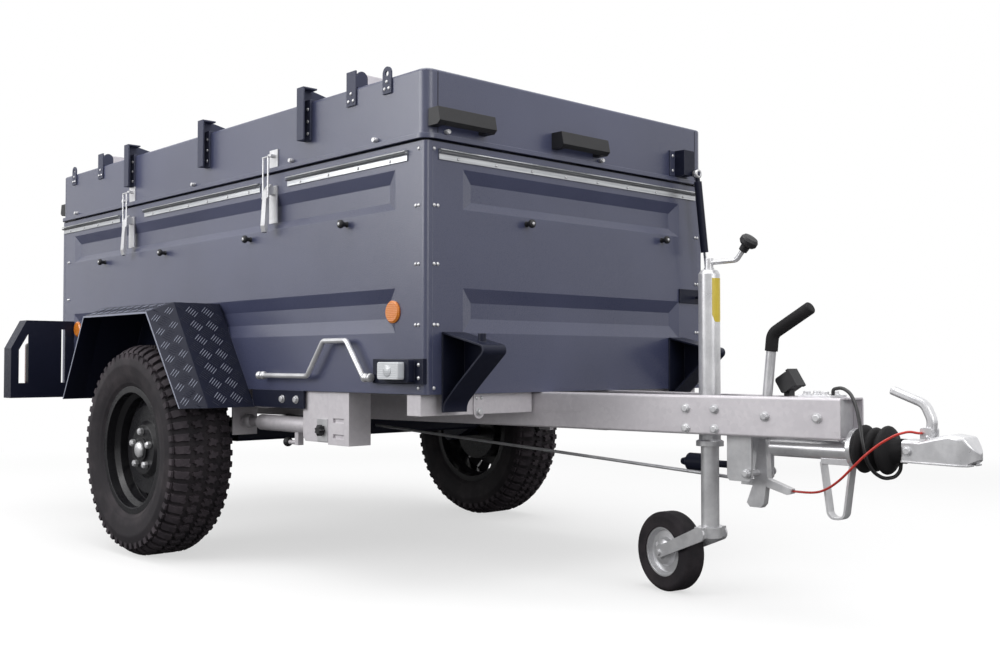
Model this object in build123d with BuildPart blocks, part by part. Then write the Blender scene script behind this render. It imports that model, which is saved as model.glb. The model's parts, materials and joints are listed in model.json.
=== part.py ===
from build123d import *
import os
from math import atan, cos, pi, radians, sin, tan

# Folding camper trailer in millimetres: X forward, Y to the left, Z up, ground at Z = 0.

# Box and lid
box_length = 2520
box_width = 1250
floor_z = 571
rim_z = 1271
wall = 25
tailgate = 33
panel_gap = 2
floor_thickness = 20
seal_gap = 6
lid_height = 196
lid_lip_out = 10
lid_lip_height = 14
corner_round = 14
lid_round = 30
crown_round = 8

# Road wheels
tyre_radius = 360
tyre_width = 225
rim_radius = 203
rim_lip = 15
wheel_set_back = 1292
wheel_out = 150
spindle_radius = 20

# Clearances: turning fits, and pieces that stand beside each other
running_gap = 0.05
seat_gap = 0.3

# Drawbar beams, given by the outer faces of the two channels
beam_height = 105
beam_flange = 50
beam_sheet = 5
beam_nose = 918
beam_nose_half = 57
beam_spread = 0.13
beam_length = 2300

# Axle and swing arms
axle_set_back = 1150
axle_z = 424
axle_square = 80
axle_half = 560
arm_thickness = 36
arm_width = 70

# Coupling and overrun gear on the centre line, ahead of the beams' nose
coupling_ahead = 322
draw_z = 446
draw_tube_z = 437
draw_tube_radius = 24
bellows_radius = 60
ball_radius = 25

# Jockey wheel behind the nose
jockey_back = 433
jockey_tube_radius = 30
jockey_stem_radius = 25
jockey_top_z = 924
jockey_flange_z = 436
jockey_wheel_radius = 114
jockey_wheel_width = 68
jockey_rim_radius = 71
jockey_trail = 165
jockey_yaw = 10
jockey_pin_radius = 8

# Lid hinge line on the left-hand side
hinge_out = 42
hinge_knuckle = 11
hinge_pin = 6

# Gas springs at both ends of the box, places measured in from the left-hand side
gas_stand_off = 60
gas_top_in = 109
gas_top_z = 1301
gas_low_in = 45
gas_low_z = 885
gas_cylinder_radius = 13
gas_cylinder_length = 268
gas_rod_radius = 5
gas_stud_radius = 5

# Fold-out legs that lie across the lid
lid_leg_square = 30
lid_leg_length = 1000
lid_leg_rise = 30
lid_leg_pin = 6

# Swivel support legs below the floor
prop_pivot_back = 600
prop_z = 460
prop_in = 50
prop_radius = 26
prop_reach = 445
prop_pin = 9

# Derived places
rear_reach = gas_stand_off + gas_cylinder_radius
box_front = (box_length + rear_reach - beam_nose - coupling_ahead) / 2
box_rear = box_front - box_length
box_mid = (box_front + box_rear) / 2
half = box_width / 2
nose = box_front + beam_nose
lid_bottom = rim_z + seal_gap
lid_top = lid_bottom + lid_height
wheel_x = box_front - wheel_set_back
wheel_y = half + wheel_out
axle_x = box_front - axle_set_back
beam_top_z = floor_z
beam_bottom_z = beam_top_z - beam_height
hinge_y = half + hinge_out
hinge_z = rim_z + seal_gap / 2
jockey_at = nose - jockey_back
gas_top_y = half - gas_top_in
gas_low_y = half - gas_low_in
right = -1
left = 1
sides = (right, left)
ends = ((box_front, 1), (box_rear, -1))
up = Vector(0, 0, 1)


def along(share):
    return box_front - share * box_length


def beam_half(x):
    return beam_nose_half + beam_spread * (nose - x)


def block(xs, ys, zs, mode=Mode.ADD):
    with Locations((sum(xs) / 2, sum(ys) / 2, sum(zs) / 2)):
        Box(abs(xs[1] - xs[0]), abs(ys[1] - ys[0]), abs(zs[1] - zs[0]), mode=mode)


def bar(start, end, radius, mode=Mode.ADD):
    run = Vector(*end) - Vector(*start)
    with BuildSketch(Plane(origin=start, z_dir=run)) as section:
        Circle(radius)
    extrude(section.sketch, amount=run.length, mode=mode)


def bent_bar(points, radius, bends):
    with BuildLine() as path:
        FilletPolyline(*points, radius=bends)
    run = Vector(*points[1]) - Vector(*points[0])
    with BuildSketch(Plane(origin=points[0], z_dir=run)) as section:
        Circle(radius)
    sweep(section.sketch, path=path.line)


def bent_strip(points, across, width, sheet, bends):
    with BuildLine() as path:
        FilletPolyline(*points, radius=bends)
    run = Vector(*points[1]) - Vector(*points[0])
    with BuildSketch(Plane(origin=points[0], x_dir=across, z_dir=run)) as section:
        Rectangle(width, sheet)
    sweep(section.sketch, path=path.line)


def turned(origin, axis, outline, mode=Mode.ADD):
    axis = Vector(*axis)
    radial = up if axis.Y else Vector(0, 1, 0)
    with BuildSketch(Plane(origin=origin, x_dir=radial, z_dir=radial.cross(axis))) as section:
        with BuildLine():
            Polyline(*outline, close=True)
        make_face()
    revolve(section.sketch, axis=Axis(origin, axis), mode=mode)


def plate_xz(points, ys, mode=Mode.ADD, rounding=0):
    with BuildSketch(Plane.XZ.offset(-max(ys))) as outline:
        with BuildLine():
            Polyline(*points, close=True)
        make_face()
        if rounding:
            fillet(outline.vertices(), radius=rounding)
    extrude(outline.sketch, amount=abs(ys[1] - ys[0]), mode=mode)


def plate_yz(points, xs, mode=Mode.ADD, rounding=0):
    with BuildSketch(Plane.YZ.offset(min(xs))) as outline:
        with BuildLine():
            Polyline(*points, close=True)
        make_face()
        if rounding:
            fillet(outline.vertices(), radius=rounding)
    extrude(outline.sketch, amount=abs(xs[1] - xs[0]), mode=mode)


def save(part, name):
    part.label = name
    export_step(part, f"parts/{name}.step")


os.makedirs("parts", exist_ok=True)

# Pressed ribs of the box walls: outer band low and high, inner band low and high
rib_bands = (
    (743, 868, 783, 828),
    (1090, 1203, 1114, 1166),
)
rib_depth = 12
rib_end_gap = 135
rib_end_slope = 40


def press_ribs(face, span):
    for out_low, out_high, in_low, in_high in rib_bands:
        length = span - 2 * rib_end_gap
        with BuildSketch(face) as mouth:
            with Locations((0, (out_low + out_high) / 2)):
                Rectangle(length, out_high - out_low)
        with BuildSketch(face.offset(-rib_depth)) as bed:
            with Locations((0, (in_low + in_high) / 2)):
                Rectangle(length - 2 * rib_end_slope, in_high - in_low)
        loft([mouth.sketch.face(), bed.sketch.face()], mode=Mode.SUBTRACT)


# Round side reflectors stand on flat pads in the side walls, one near each end
reflector_xs = (box_rear + 177, box_front - 143)
reflector_z = 802
reflector_radius = 32
reflector_pad = 35
reflector_out = 8
reflector_bevel = 5

# Box floor and walls: the tailgate closes the full width, the front wall stands between the sides
with BuildPart() as box_floor:
    block(
        (box_rear + tailgate, box_front - wall),
        (-half + wall, half - wall),
        (floor_z, floor_z + floor_thickness),
    )
save(box_floor.part, "box_floor")

with BuildPart() as wall_front:
    block((box_front - wall, box_front), (-half + wall, half - wall), (floor_z, rim_z))
    press_ribs(Plane(origin=(box_front, 0, 0), x_dir=(0, 1, 0), z_dir=(1, 0, 0)), box_width)
save(wall_front.part, "wall_front")

with BuildPart() as wall_rear:
    block((box_rear, box_rear + tailgate), (-half, half), (floor_z, rim_z))
    fillet(wall_rear.part.edges().filter_by(Axis.Z).group_by(Axis.X)[0], radius=corner_round)
    press_ribs(Plane(origin=(box_rear, 0, 0), x_dir=(0, -1, 0), z_dir=(-1, 0, 0)), box_width)
save(wall_rear.part, "wall_rear")

for name, side in (("wall_right", right), ("wall_left", left)):
    with BuildPart() as side_wall:
        side_span = (box_rear + tailgate + panel_gap, box_front)
        block(side_span, (side * (half - wall), side * half), (floor_z, rim_z))
        front_edges = side_wall.part.edges().filter_by(Axis.Z).sort_by(Axis.X)[-2:]
        fillet(front_edges.sort_by(Axis.Y)[::side][-1], radius=corner_round)
        face = Plane(origin=(box_mid, side * half, 0), x_dir=(-side, 0, 0), z_dir=(0, side, 0))
        press_ribs(face, box_length)
        for x in reflector_xs:
            bar((x, side * (half - wall), reflector_z), (x, side * half, reflector_z), reflector_pad)
    save(side_wall.part, name)

# Lid: one folded pan, open below, with a drip lip round its lower edge and a parting line at the rear
parting_depth = 3
with BuildPart() as lid_shell:
    with BuildSketch(Plane.XY.offset(lid_bottom)) as pan:
        with Locations((box_mid, 0)):
            RectangleRounded(box_length, box_width, lid_round)
    extrude(pan.sketch, amount=lid_height)
    fillet(lid_shell.part.faces().sort_by(Axis.Z)[-1].edges(), radius=crown_round)
    parting = (box_rear + tailgate, box_rear + tailgate + panel_gap)
    for side in sides:
        groove = (side * (half - parting_depth), side * half)
        block(parting, groove, (lid_bottom, lid_top), mode=Mode.SUBTRACT)
    block(parting, (-half, half), (lid_top - parting_depth, lid_top), mode=Mode.SUBTRACT)
    with BuildSketch(Plane.XY.offset(lid_bottom)) as lip:
        with Locations((box_mid, 0)):
            lip_size = (box_length + 2 * lid_lip_out, box_width + 2 * lid_lip_out)
            RectangleRounded(*lip_size, lid_round + lid_lip_out)
    extrude(lip.sketch, amount=lid_lip_height)
    block(
        (box_rear + tailgate, box_front - wall),
        (-half + wall, half - wall),
        (lid_bottom, lid_top - wall),
        mode=Mode.SUBTRACT,
    )
save(lid_shell.part, "lid_shell")

# Awning rails below the rim: a flat flange with a slotted round bead along its top edge
rail_height = 30
rail_flange = 4
rail_bead = 7
rail_bore = 4.5
rail_slot = 4
rail_depth = 2 * rail_bead
rail_z = 1222
rail_spans = ((0.9913, 0.7659), (0.6794, 0.3413), (0.275, 0.031))
rail_end_inset = 45


def rail(start, out, length):
    with BuildSketch(Plane(origin=start, x_dir=out, z_dir=Vector(*out).cross(up))) as profile:
        with Locations((rail_flange / 2, rail_height / 2)):
            Rectangle(rail_flange, rail_height)
        with Locations((rail_bead, rail_height - rail_bead)):
            Circle(rail_bead)
            Circle(rail_bore, mode=Mode.SUBTRACT)
        with Locations((rail_depth, rail_height - rail_bead)):
            Rectangle(rail_bead, rail_slot, mode=Mode.SUBTRACT)
    extrude(profile.sketch, amount=length)


with BuildPart() as awning_rails:
    for side in sides:
        for rear, front in rail_spans:
            begin = along(rear if side == left else front)
            rail((begin, side * half, rail_z), (0, side, 0), (rear - front) * box_length)
    for end, facing in ends:
        rail((end, facing * (half - rail_end_inset), rail_z), (facing, 0, 0), box_width - 2 * rail_end_inset)
save(awning_rails.part, "awning_rails")

# Over-centre latches on the right-hand side: base, tapered lever and wire bail up to the keeper on the lid
latch_shares = (0.7226, 0.3079)
latch_base = (44, 6, 1110, 1232)
latch_pivot_z = 1190
latch_lever = (  # distance out from the wall, height
    (6, 1226), (20, 1236), (36, 1214), (44, 1100), (40, 1080), (33, 1077), (31, 1096), (27, 1200), (6, 1204),
)
lever_half = 12
bail_half = 15
bail_radius = 3
latch_pin_radius = 4
bail_top_z = 1322
bail_out = 33
bail_end = 18
keeper_out = 20

with BuildPart() as latches:
    base_width, base_sheet, base_low, base_high = latch_base
    for share in latch_shares:
        x = along(share)
        block((x - base_width / 2, x + base_width / 2), (-half - base_sheet, -half), (base_low, base_high))
        plate_yz([(-half - out, z) for out, z in latch_lever], (x - lever_half, x + lever_half))
        y = -half - bail_out
        for z, radius in ((latch_pivot_z, latch_pin_radius), (bail_top_z, bail_radius)):
            bar((x - bail_end, y, z), (x + bail_end, y, z), radius)
        for edge in (-1, 1):
            bar((x + edge * bail_half, y, latch_pivot_z), (x + edge * bail_half, y, bail_top_z), bail_radius)
save(latches.part, "latches")

# Knobs for the tent's skirt, turned from one outline of radius and reach
knob_shares = (0.823, 0.6111, 0.3663, 0.1472)
knob_across = (-0.381, 0.637)
knob_z = 1070
knob_outline = ((0, 0), (9, 0), (7, 4), (7, 15), (12, 18), (13, 22), (12, 27), (8, 30), (0, 30))

with BuildPart() as tent_knobs:
    for side in sides:
        for share in knob_shares:
            turned((along(share), side * half, knob_z), (0, side, 0), knob_outline)
    for end, facing in ends:
        for share in knob_across:
            turned((end, share * half, knob_z), (facing, 0, 0), knob_outline)
save(tent_knobs.part, "tent_knobs")

# Round side reflectors with a bevelled rim
reflector_outline = (
    (0, 0), (reflector_radius, 0), (reflector_radius, reflector_out / 2),
    (reflector_radius - reflector_bevel, reflector_out), (0, reflector_out),
)
with BuildPart() as side_reflectors:
    for side in sides:
        for x in reflector_xs:
            turned((x, side * half, reflector_z), (0, side, 0), reflector_outline)
save(side_reflectors.part, "side_reflectors")

# Folded sheet brackets on the front wall: path of the sheet as distance ahead of the wall and height
nose_path = ((0, 742), (182, 700), (62, 598), (5, 545), (5, 522))
nose_bends = [14, 50, 40]
nose_across = (-0.84, 0.76)
nose_width = 85
nose_sheet = 5
nose_web = ((2, 738), (150, 704), (56, 600), (8, 552))
nose_pin = (120, 11, 24)
lamp_plate = (-220, 6, 600, 670)
lamp_plate_out = 14
lamp_foot = (-160, -30, 604, 668)
lamp_foot_out = 22
lamp_lens = (-143, -48, 612, 661)
lamp_lens_out = 22
lamp_round = 7

with BuildPart() as front_brackets:
    for share in nose_across:
        y = share * half
        path = [(box_front + nose_sheet / 2 + ahead, y, z) for ahead, z in nose_path]
        bent_strip(path, (0, 1, 0), nose_width, nose_sheet, nose_bends)
        web = (y + nose_width / 2 - nose_sheet, y + nose_width / 2)
        plate_xz([(box_front + ahead, z) for ahead, z in nose_web], web)
        top_z, lip_z = nose_path[0][1], nose_path[1][1]
        low_z = nose_path[-1][1]
        block((box_front, box_front + nose_sheet), (y - nose_width / 2, y + nose_width / 2), (low_z, top_z))
        pin_ahead, pin_radius, pin_rise = nose_pin
        pin_foot = top_z - pin_ahead * (top_z - lip_z) / nose_path[1][0]
        pin_x = box_front + pin_ahead
        bar((pin_x, y, pin_foot), (pin_x, y, pin_foot + pin_rise), pin_radius)
    for side in sides:
        rear, front, low, high = lamp_plate
        plate_y = (side * half, side * (half + lamp_plate_out))
        block((box_front + rear, box_front + front), plate_y, (low, high))
        rear, front, low, high = lamp_foot
        foot = (half + lamp_plate_out, half + lamp_plate_out + lamp_foot_out)
        corners = ((rear, low), (front, low), (front, high), (rear, high))
        plate_xz([(box_front + x, z) for x, z in corners], [side * y for y in foot], rounding=lamp_round)
save(front_brackets.part, "front_brackets")

with BuildPart() as front_lamps:
    rear, front, low, high = lamp_lens
    corners = ((rear, low), (front, low), (front, high), (rear, high))
    for side in sides:
        lens_foot = half + lamp_plate_out + lamp_foot_out
        lens = [side * lens_foot, side * (lens_foot + lamp_lens_out)]
        plate_xz([(box_front + x, z) for x, z in corners], lens, rounding=lamp_round)
    for outer in (0, -1):
        fillet(front_lamps.part.faces().sort_by(Axis.Y)[outer].edges(), radius=lamp_round / 2)
save(front_lamps.part, "front_lamps")

# Drawbar beams: folded channels that spread from the nose to the axle, open towards the middle
beam_angle = atan(beam_spread)
beam_bend = 6


def beam_start(side):
    run = Vector(-cos(beam_angle), side * sin(beam_angle), 0)
    origin = (nose, side * beam_nose_half, beam_top_z - beam_height / 2)
    return Plane(origin=origin, x_dir=(0, 0, -side), z_dir=run)


for name, side in (("drawbar_right", right), ("drawbar_left", left)):
    with BuildPart() as drawbar:
        with BuildSketch(beam_start(side)) as section:
            Rectangle(beam_height, beam_flange, align=(Align.CENTER, Align.MIN))
            fillet(section.vertices().group_by(Axis.Y)[0], radius=beam_bend)
            with Locations((0, beam_sheet)):
                Rectangle(
                    beam_height - 2 * beam_sheet,
                    beam_flange,
                    align=(Align.CENTER, Align.MIN),
                    mode=Mode.SUBTRACT,
                )
        extrude(amount=beam_length)
    save(drawbar.part, name)

# Cross members: the first two end at the beams, the others pass behind the beams' rear ends
cross_depth = 60
cross_square = 60
cross_side_gap = 8
cross_shares = (0.0238, 0.3413, 0.5952, 0.9683)

with BuildPart() as cross_members:
    beam_rear = nose - beam_length * cos(beam_angle)
    for share in cross_shares:
        xs = (along(share) - cross_square / 2, along(share) + cross_square / 2)
        zs = (floor_z - cross_depth, floor_z)
        if xs[0] > beam_rear:
            for side in sides:
                block(xs, (side * (beam_half(xs[0]) + seat_gap), side * (half - cross_side_gap)), zs)
        else:
            block(xs, (-half + cross_side_gap, half - cross_side_gap), zs)
save(cross_members.part, "cross_members")

# Axle tube below the beams, swing arms and spindles
axle_bend = 10
with BuildPart() as axle_tube:
    block(
        (axle_x - axle_square / 2, axle_x + axle_square / 2),
        (-axle_half, axle_half),
        (axle_z - axle_square / 2, beam_bottom_z),
    )
    fillet(axle_tube.part.edges().filter_by(Axis.Y), radius=axle_bend)
save(axle_tube.part, "axle_tube")

spindle_past = 30
with BuildPart() as swing_arms:
    for side in sides:
        with BuildSketch(Plane.XZ.offset(-side * axle_half)) as arm:
            with Locations((axle_x, axle_z)):
                Circle(arm_width / 2)
            with Locations((wheel_x, tyre_radius)):
                Circle(arm_width / 2)
            make_hull()
        extrude(arm.sketch, amount=-side * arm_thickness)
        bar(
            (wheel_x, side * (axle_half + arm_thickness), tyre_radius),
            (wheel_x, side * (wheel_y + spindle_past), tyre_radius),
            spindle_radius,
        )
save(swing_arms.part, "swing_arms")

# Road wheels: tyre with bulged flanks, pressed disc rim with drop centre, oval vents and brake drum
shoulder_in = 30
tread_in = 55
flank_peak = 285
flank_high = 330
flank_taper = 8
shoulder_drop = 8
bead_gap = 1
bead_half = 86
hub_bore = spindle_radius + running_gap
lip_radius = rim_radius + rim_lip
rim_edge = 92
rim_outline = (  # radius, distance towards the outer side
    (hub_bore, -60), (120, -60), (120, -8), (45, -8), (45, 44), (81, 44), (97, 28), (149, 28), (182, 10),
    (182, -36), (197, -50), (197, -rim_edge), (lip_radius, -rim_edge), (lip_radius, -bead_half),
    (rim_radius, -bead_half), (rim_radius, -48), (188, -34), (188, 46), (rim_radius, 60),
    (rim_radius, bead_half), (lip_radius, bead_half), (lip_radius, rim_edge), (197, rim_edge), (197, 62),
    (182, 48), (182, 16), (150, 34), (100, 34), (84, 50), (40, 50), (40, 58), (hub_bore, 58),
)
vent_count = 16
vent_ring = 165
vent_length = 30
vent_width = 14
vent_depth = 60

for side, word in ((right, "right"), (left, "left")):
    hub = Plane(origin=(wheel_x, side * wheel_y, tyre_radius), x_dir=(0, 0, 1), z_dir=(0, 1, 0))
    flank = tyre_width / 2
    with BuildPart() as tyre:
        with BuildSketch(hub * Plane.XZ) as section:
            with BuildLine():
                for f in (-1, 1):
                    seat = f * (bead_half - bead_gap)
                    bead = (lip_radius + bead_gap, f * rim_edge)
                    flank_end = (flank_high, f * (flank - flank_taper))
                    Polyline((rim_radius, 0), (rim_radius, seat), (lip_radius + bead_gap, seat), bead)
                    ThreePointArc(bead, (flank_peak, f * flank), flank_end)
                    ThreePointArc(
                        flank_end,
                        (tyre_radius - shoulder_drop, f * (flank - shoulder_in)),
                        (tyre_radius, f * (flank - tread_in)),
                    )
                Line((tyre_radius, tread_in - flank), (tyre_radius, flank - tread_in))
            make_face()
        revolve(section.sketch, axis=Axis(hub.origin, hub.z_dir))
    save(tyre.part, f"tyre_{word}")
    with BuildPart() as rim:
        with BuildSketch(hub * Plane.XZ) as section:
            with BuildLine():
                Polyline(*[(radius, side * out) for radius, out in rim_outline], close=True)
            make_face()
        revolve(section.sketch, axis=Axis(hub.origin, hub.z_dir))
        with BuildSketch(hub) as vents:
            with PolarLocations(vent_ring, vent_count):
                SlotOverall(vent_length, vent_width)
        extrude(vents.sketch, amount=side * vent_depth, mode=Mode.SUBTRACT)
    save(rim.part, f"rim_{word}")

# Mudguards: outline as distance back and height at the box, then at the outer lip
guard_sheet = 4
guard_crease_out = 170
guard_lip_out = 255
guard_foot_drop = 5
guard_mitre = 0.6
guard_inner = ((-1880, 521), (-1690, 863), (-1132, 863), (-890, 513))
guard_outer = ((-1856, 521), (-1671, 829), (-1157, 829), (-915, 513))
guard_stay = (-905, -600, 515, 571)
guard_stay_sheet = 8


def guard_section(side, out, outline, inset):
    rear_foot, rear_top, front_top, front_foot = outline
    drop = guard_foot_drop if inset else 0
    with BuildSketch(Plane.XZ.offset(-side * out)) as section:
        with BuildLine():
            Polyline(
                (box_front + rear_foot[0] + inset, rear_foot[1] - drop),
                (box_front + rear_top[0] + inset * guard_mitre, rear_top[1] - inset),
                (box_front + front_top[0] - inset * guard_mitre, front_top[1] - inset),
                (box_front + front_foot[0] - inset, front_foot[1] - drop),
                close=True,
            )
        make_face()
    return section.sketch.face()


for name, side in (("mudguard_right", right), ("mudguard_left", left)):
    with BuildPart() as mudguard:
        for inset, mode in ((0, Mode.ADD), (guard_sheet, Mode.SUBTRACT)):
            crease = guard_section(side, half + guard_crease_out, guard_inner, inset)
            loft([guard_section(side, half + inset, guard_inner, inset), crease], mode=mode)
            loft([crease, guard_section(side, half + guard_lip_out, guard_outer, inset)], mode=mode)
        rear, front, low, high = guard_stay
        stay_y = (side * (half - guard_stay_sheet), side * half)
        block((box_front + rear, box_front + front), stay_y, (low, high))
    save(mudguard.part, name)

# Rear light guards: a folded plate with open windows, a returned outer edge and a lamp panel
light_guard_ahead = 135
light_guard_depth = 80
light_guard_sheet = 4
light_guard_outline = ((0, 512), (262, 512), (262, 719), (200, 836), (0, 836))
light_guard_inside = ((0, 516), (258, 516), (258, 717), (198, 832), (0, 832))
light_guard_windows = (
    ((192, 574), (230, 574), (230, 712), (192, 780)),
    ((38, 574), (54, 574), (54, 800), (38, 800)),
)
lamp_housing = (62, 184, 566, 742)
lamp_housing_depth = 44
lamp_housing_round = 14
tail_lens_depth = 18


def housing_corners(side):
    near, far, low, high = lamp_housing
    return [(side * (half + out), z) for out, z in ((near, low), (far, low), (far, high), (near, high))]


with BuildPart() as light_guards:
    x = box_rear + light_guard_ahead
    for side in sides:
        outline, inside, *windows = [
            [(side * (half + out), z) for out, z in shape]
            for shape in (light_guard_outline, light_guard_inside, *light_guard_windows)
        ]
        plate_yz(outline, (x - light_guard_depth, x))
        plate_yz(inside, (x - light_guard_depth, x - light_guard_sheet), mode=Mode.SUBTRACT)
        for window in windows:
            plate_yz(window, (x - light_guard_sheet, x), mode=Mode.SUBTRACT)
        housing = (x - light_guard_sheet - lamp_housing_depth, x - light_guard_sheet)
        plate_yz(housing_corners(side), housing, rounding=lamp_housing_round)
save(light_guards.part, "light_guards")

with BuildPart() as tail_lamps:
    lens = box_rear + light_guard_ahead - light_guard_sheet - lamp_housing_depth
    for side in sides:
        plate_yz(housing_corners(side), (lens - tail_lens_depth, lens), rounding=lamp_housing_round)
    fillet(tail_lamps.part.faces().group_by(Axis.X)[0].edges(), radius=tail_lens_depth / 3)
save(tail_lamps.part, "tail_lamps")

# Overrun gear on the nose: draw tube below the beams with its collar, nose plate and the plate bolted on top
draw_tube_span = (-228, 19)
nose_plate = (-34, -28)
nose_plate_stem = 6
bellows_disc = (7, 19, 50)
top_plate = (-130, -36, 38, 6)

with BuildPart() as overrun_tube:
    rear, front = draw_tube_span
    bar((nose + rear, 0, draw_tube_z), (nose + front, 0, draw_tube_z), draw_tube_radius)
    bar((nose + bellows_disc[0], 0, draw_z), (nose + bellows_disc[1], 0, draw_z), bellows_disc[2])
    plate_x = (nose + nose_plate[0], nose + nose_plate[1])
    plate_half = beam_half(plate_x[1]) - beam_sheet - seat_gap
    plate_low = beam_bottom_z + beam_sheet + seat_gap
    block(plate_x, (-plate_half, plate_half), (plate_low, beam_top_z - beam_sheet - seat_gap))
    block(plate_x, (-nose_plate_stem, nose_plate_stem), (draw_tube_z, plate_low))
    rear, front, across, sheet = top_plate
    block((nose + rear, nose + front), (-across, across), (beam_top_z, beam_top_z + sheet))
save(overrun_tube.part, "overrun_tube")

# Bellows: rounded folds turned about the draw line, place ahead of the nose and radius
bellows_rear = 19
bellows_front = 142
bellows_valley = 36
bellows_collar = 30
bellows_folds = ((22, 55), (71, 104))
bellows_collar_from = 118

with BuildPart() as bellows:
    with BuildSketch(Plane.XZ) as section:
        with BuildLine():
            low = draw_z + bellows_valley
            start = nose + bellows_rear
            Polyline((start, draw_z), (start, low), (nose + bellows_folds[0][0], low))
            for start, end in bellows_folds:
                peak = (nose + (start + end) / 2, draw_z + bellows_radius)
                ThreePointArc((nose + start, low), peak, (nose + end, low))
            Line((nose + bellows_folds[0][1], low), (nose + bellows_folds[1][0], low))
            Polyline(
                (nose + bellows_folds[1][1], low),
                (nose + bellows_collar_from, draw_z + bellows_collar),
                (nose + bellows_front, draw_z + bellows_collar),
                (nose + bellows_front, draw_z),
                (nose + bellows_rear, draw_z),
            )
        make_face()
    revolve(section.sketch, axis=Axis((0, 0, draw_z), (1, 0, 0)))
save(bellows.part, "bellows")

# Coupling head: side profile crossed with the plan shape, rounded over the top, hollow over the ball
head_bottom = 421
head_profile = (  # distance ahead of the nose, height
    (142, head_bottom), (142, 476), (189, 476), (232, 487), (262, 493), (298, 488), (322, 452), (322, 437),
    (306, 428), (300, head_bottom),
)
head_neck_half = 26
head_ball_half = 40
head_round = 9
head_neck_length = 60
head_lip = 4
head_lip_out = 4
head_lip_cut = 30
ball_x = nose + coupling_ahead - head_ball_half
ball_z = 440
socket_gap = 0.5
socket_radius = ball_radius + socket_gap
ear_span = (186, 214)
ear_zs = (470, 506)
ear_half = (13.3, 20)
ear_corner = 6


def head_plan(margin):
    with Locations((ball_x, 0)):
        Circle(head_ball_half + margin)
    with Locations((nose + bellows_front + head_neck_length / 2, 0)):
        Rectangle(head_neck_length, 2 * (head_neck_half + margin))
    make_hull()


with BuildPart() as coupling_head:
    plate_xz([(nose + ahead, z) for ahead, z in head_profile], (-head_ball_half, head_ball_half))
    with BuildSketch(Plane.XY.offset(head_bottom)) as plan:
        head_plan(0)
    extrude(plan.sketch, amount=2 * head_ball_half, mode=Mode.INTERSECT)
    top_faces = coupling_head.part.faces().filter_by(lambda face: face.normal_at().Z > 0.3)
    fillet(top_faces.edges(), radius=head_round)
    with BuildSketch(Plane.XY.offset(head_bottom)) as lip:
        head_plan(head_lip_out)
        with Locations((nose + coupling_ahead, 0)):
            Rectangle(head_lip_cut, 4 * head_ball_half, mode=Mode.SUBTRACT)
    extrude(lip.sketch, amount=head_lip)
    rear, front = [nose + ahead for ahead in ear_span]
    low, high = ear_zs
    for near, far in (ear_half, [-out for out in ear_half]):
        corners = ((rear, low), (front, low), (front, high), (rear, high))
        plate_xz(corners, (near, far), rounding=ear_corner)
    with Locations((ball_x, 0, ball_z)):
        Sphere(socket_radius, mode=Mode.SUBTRACT)
        Cylinder(
            socket_radius,
            2 * head_ball_half,
            align=(Align.CENTER, Align.CENTER, Align.MAX),
            mode=Mode.SUBTRACT,
        )
save(coupling_head.part, "coupling_head")

# Coupling handle between the head's ears: a rounded section swept up and back
handle_path = ((200, 486), (209, 520), (190, 561), (107, 593))
handle_bends = [40, 34]
handle_section = (26, 20, 6)
handle_tip = 5

with BuildPart() as coupling_handle:
    points = [(nose + ahead, 0, z) for ahead, z in handle_path]
    with BuildLine() as path:
        FilletPolyline(*points, radius=handle_bends)
    run = Vector(*points[1]) - Vector(*points[0])
    with BuildSketch(Plane(origin=points[0], x_dir=(0, 1, 0), z_dir=run)) as section:
        RectangleRounded(*handle_section)
    sweep(section.sketch, path=path.line)
    fillet(coupling_handle.part.faces().sort_by(Axis.X)[0].edges(), radius=handle_tip)
save(coupling_handle.part, "coupling_handle")

# Handbrake lever between the beams, with its bent grip
lever_foot = (nose - 258, 0, 457)
lever_top = (nose - 233, 0, 690)
grip_end = (nose - 112, 0, 803)
grip_rise = 46
lever_radius = 13
grip_radius = 17
grip_bend = 30
grip_tip = 6
lever_knee = Vector(*lever_top) + (Vector(*lever_top) - Vector(*lever_foot)).normalized() * grip_rise
with BuildPart() as handbrake_lever:
    bar(lever_foot, lever_top, lever_radius)
save(handbrake_lever.part, "handbrake_lever")
with BuildPart() as handbrake_grip:
    bent_bar((lever_top, tuple(lever_knee), grip_end), grip_radius, grip_bend)
    fillet(handbrake_grip.part.faces().sort_by(Axis.X)[-1].edges(), radius=grip_tip)
save(handbrake_grip.part, "handbrake_grip")

# Overrun brake: folded bracket below the beams, lever on its bolt, spring canister and pull rod to the axle
bracket_outline = (  # distance ahead of the nose, height
    (-338, beam_bottom_z), (-338, 352), (-330, 344), (-269, 344), (-261, 352), (-261, beam_bottom_z),
)
bracket_half = (46, 54)
bracket_web = 6
bracket_web_low = 420
brake_bolt = (-273, 366, 9)
brake_bolt_past = 6
brake_lever = (  # distance ahead of the nose, height
    (-306, 284), (-296, 273), (-262, 273), (-252, 284), (-246, 330), (-183, 314), (-170, 318), (-170, 330),
    (-183, 334), (-240, 352), (-246, 455.5), (-268, 455.5), (-284, 340),
)
brake_lever_half = 10
rod_pin = (-305, 338, 6)
rod_lug = (-330, -268, 330, 346)
spring_lug = (18, 80, 358, 386)
spring_y = 72
spring_z = 372
spring_outline = (  # radius, distance ahead of the nose
    (0, -584), (9, -584), (14, -566), (26, -556), (26, -474), (18, -467), (10, -467), (10, -338), (0, -338),
)
rod_y = 36
rod_radius = 5
rod_drop = 6

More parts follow.
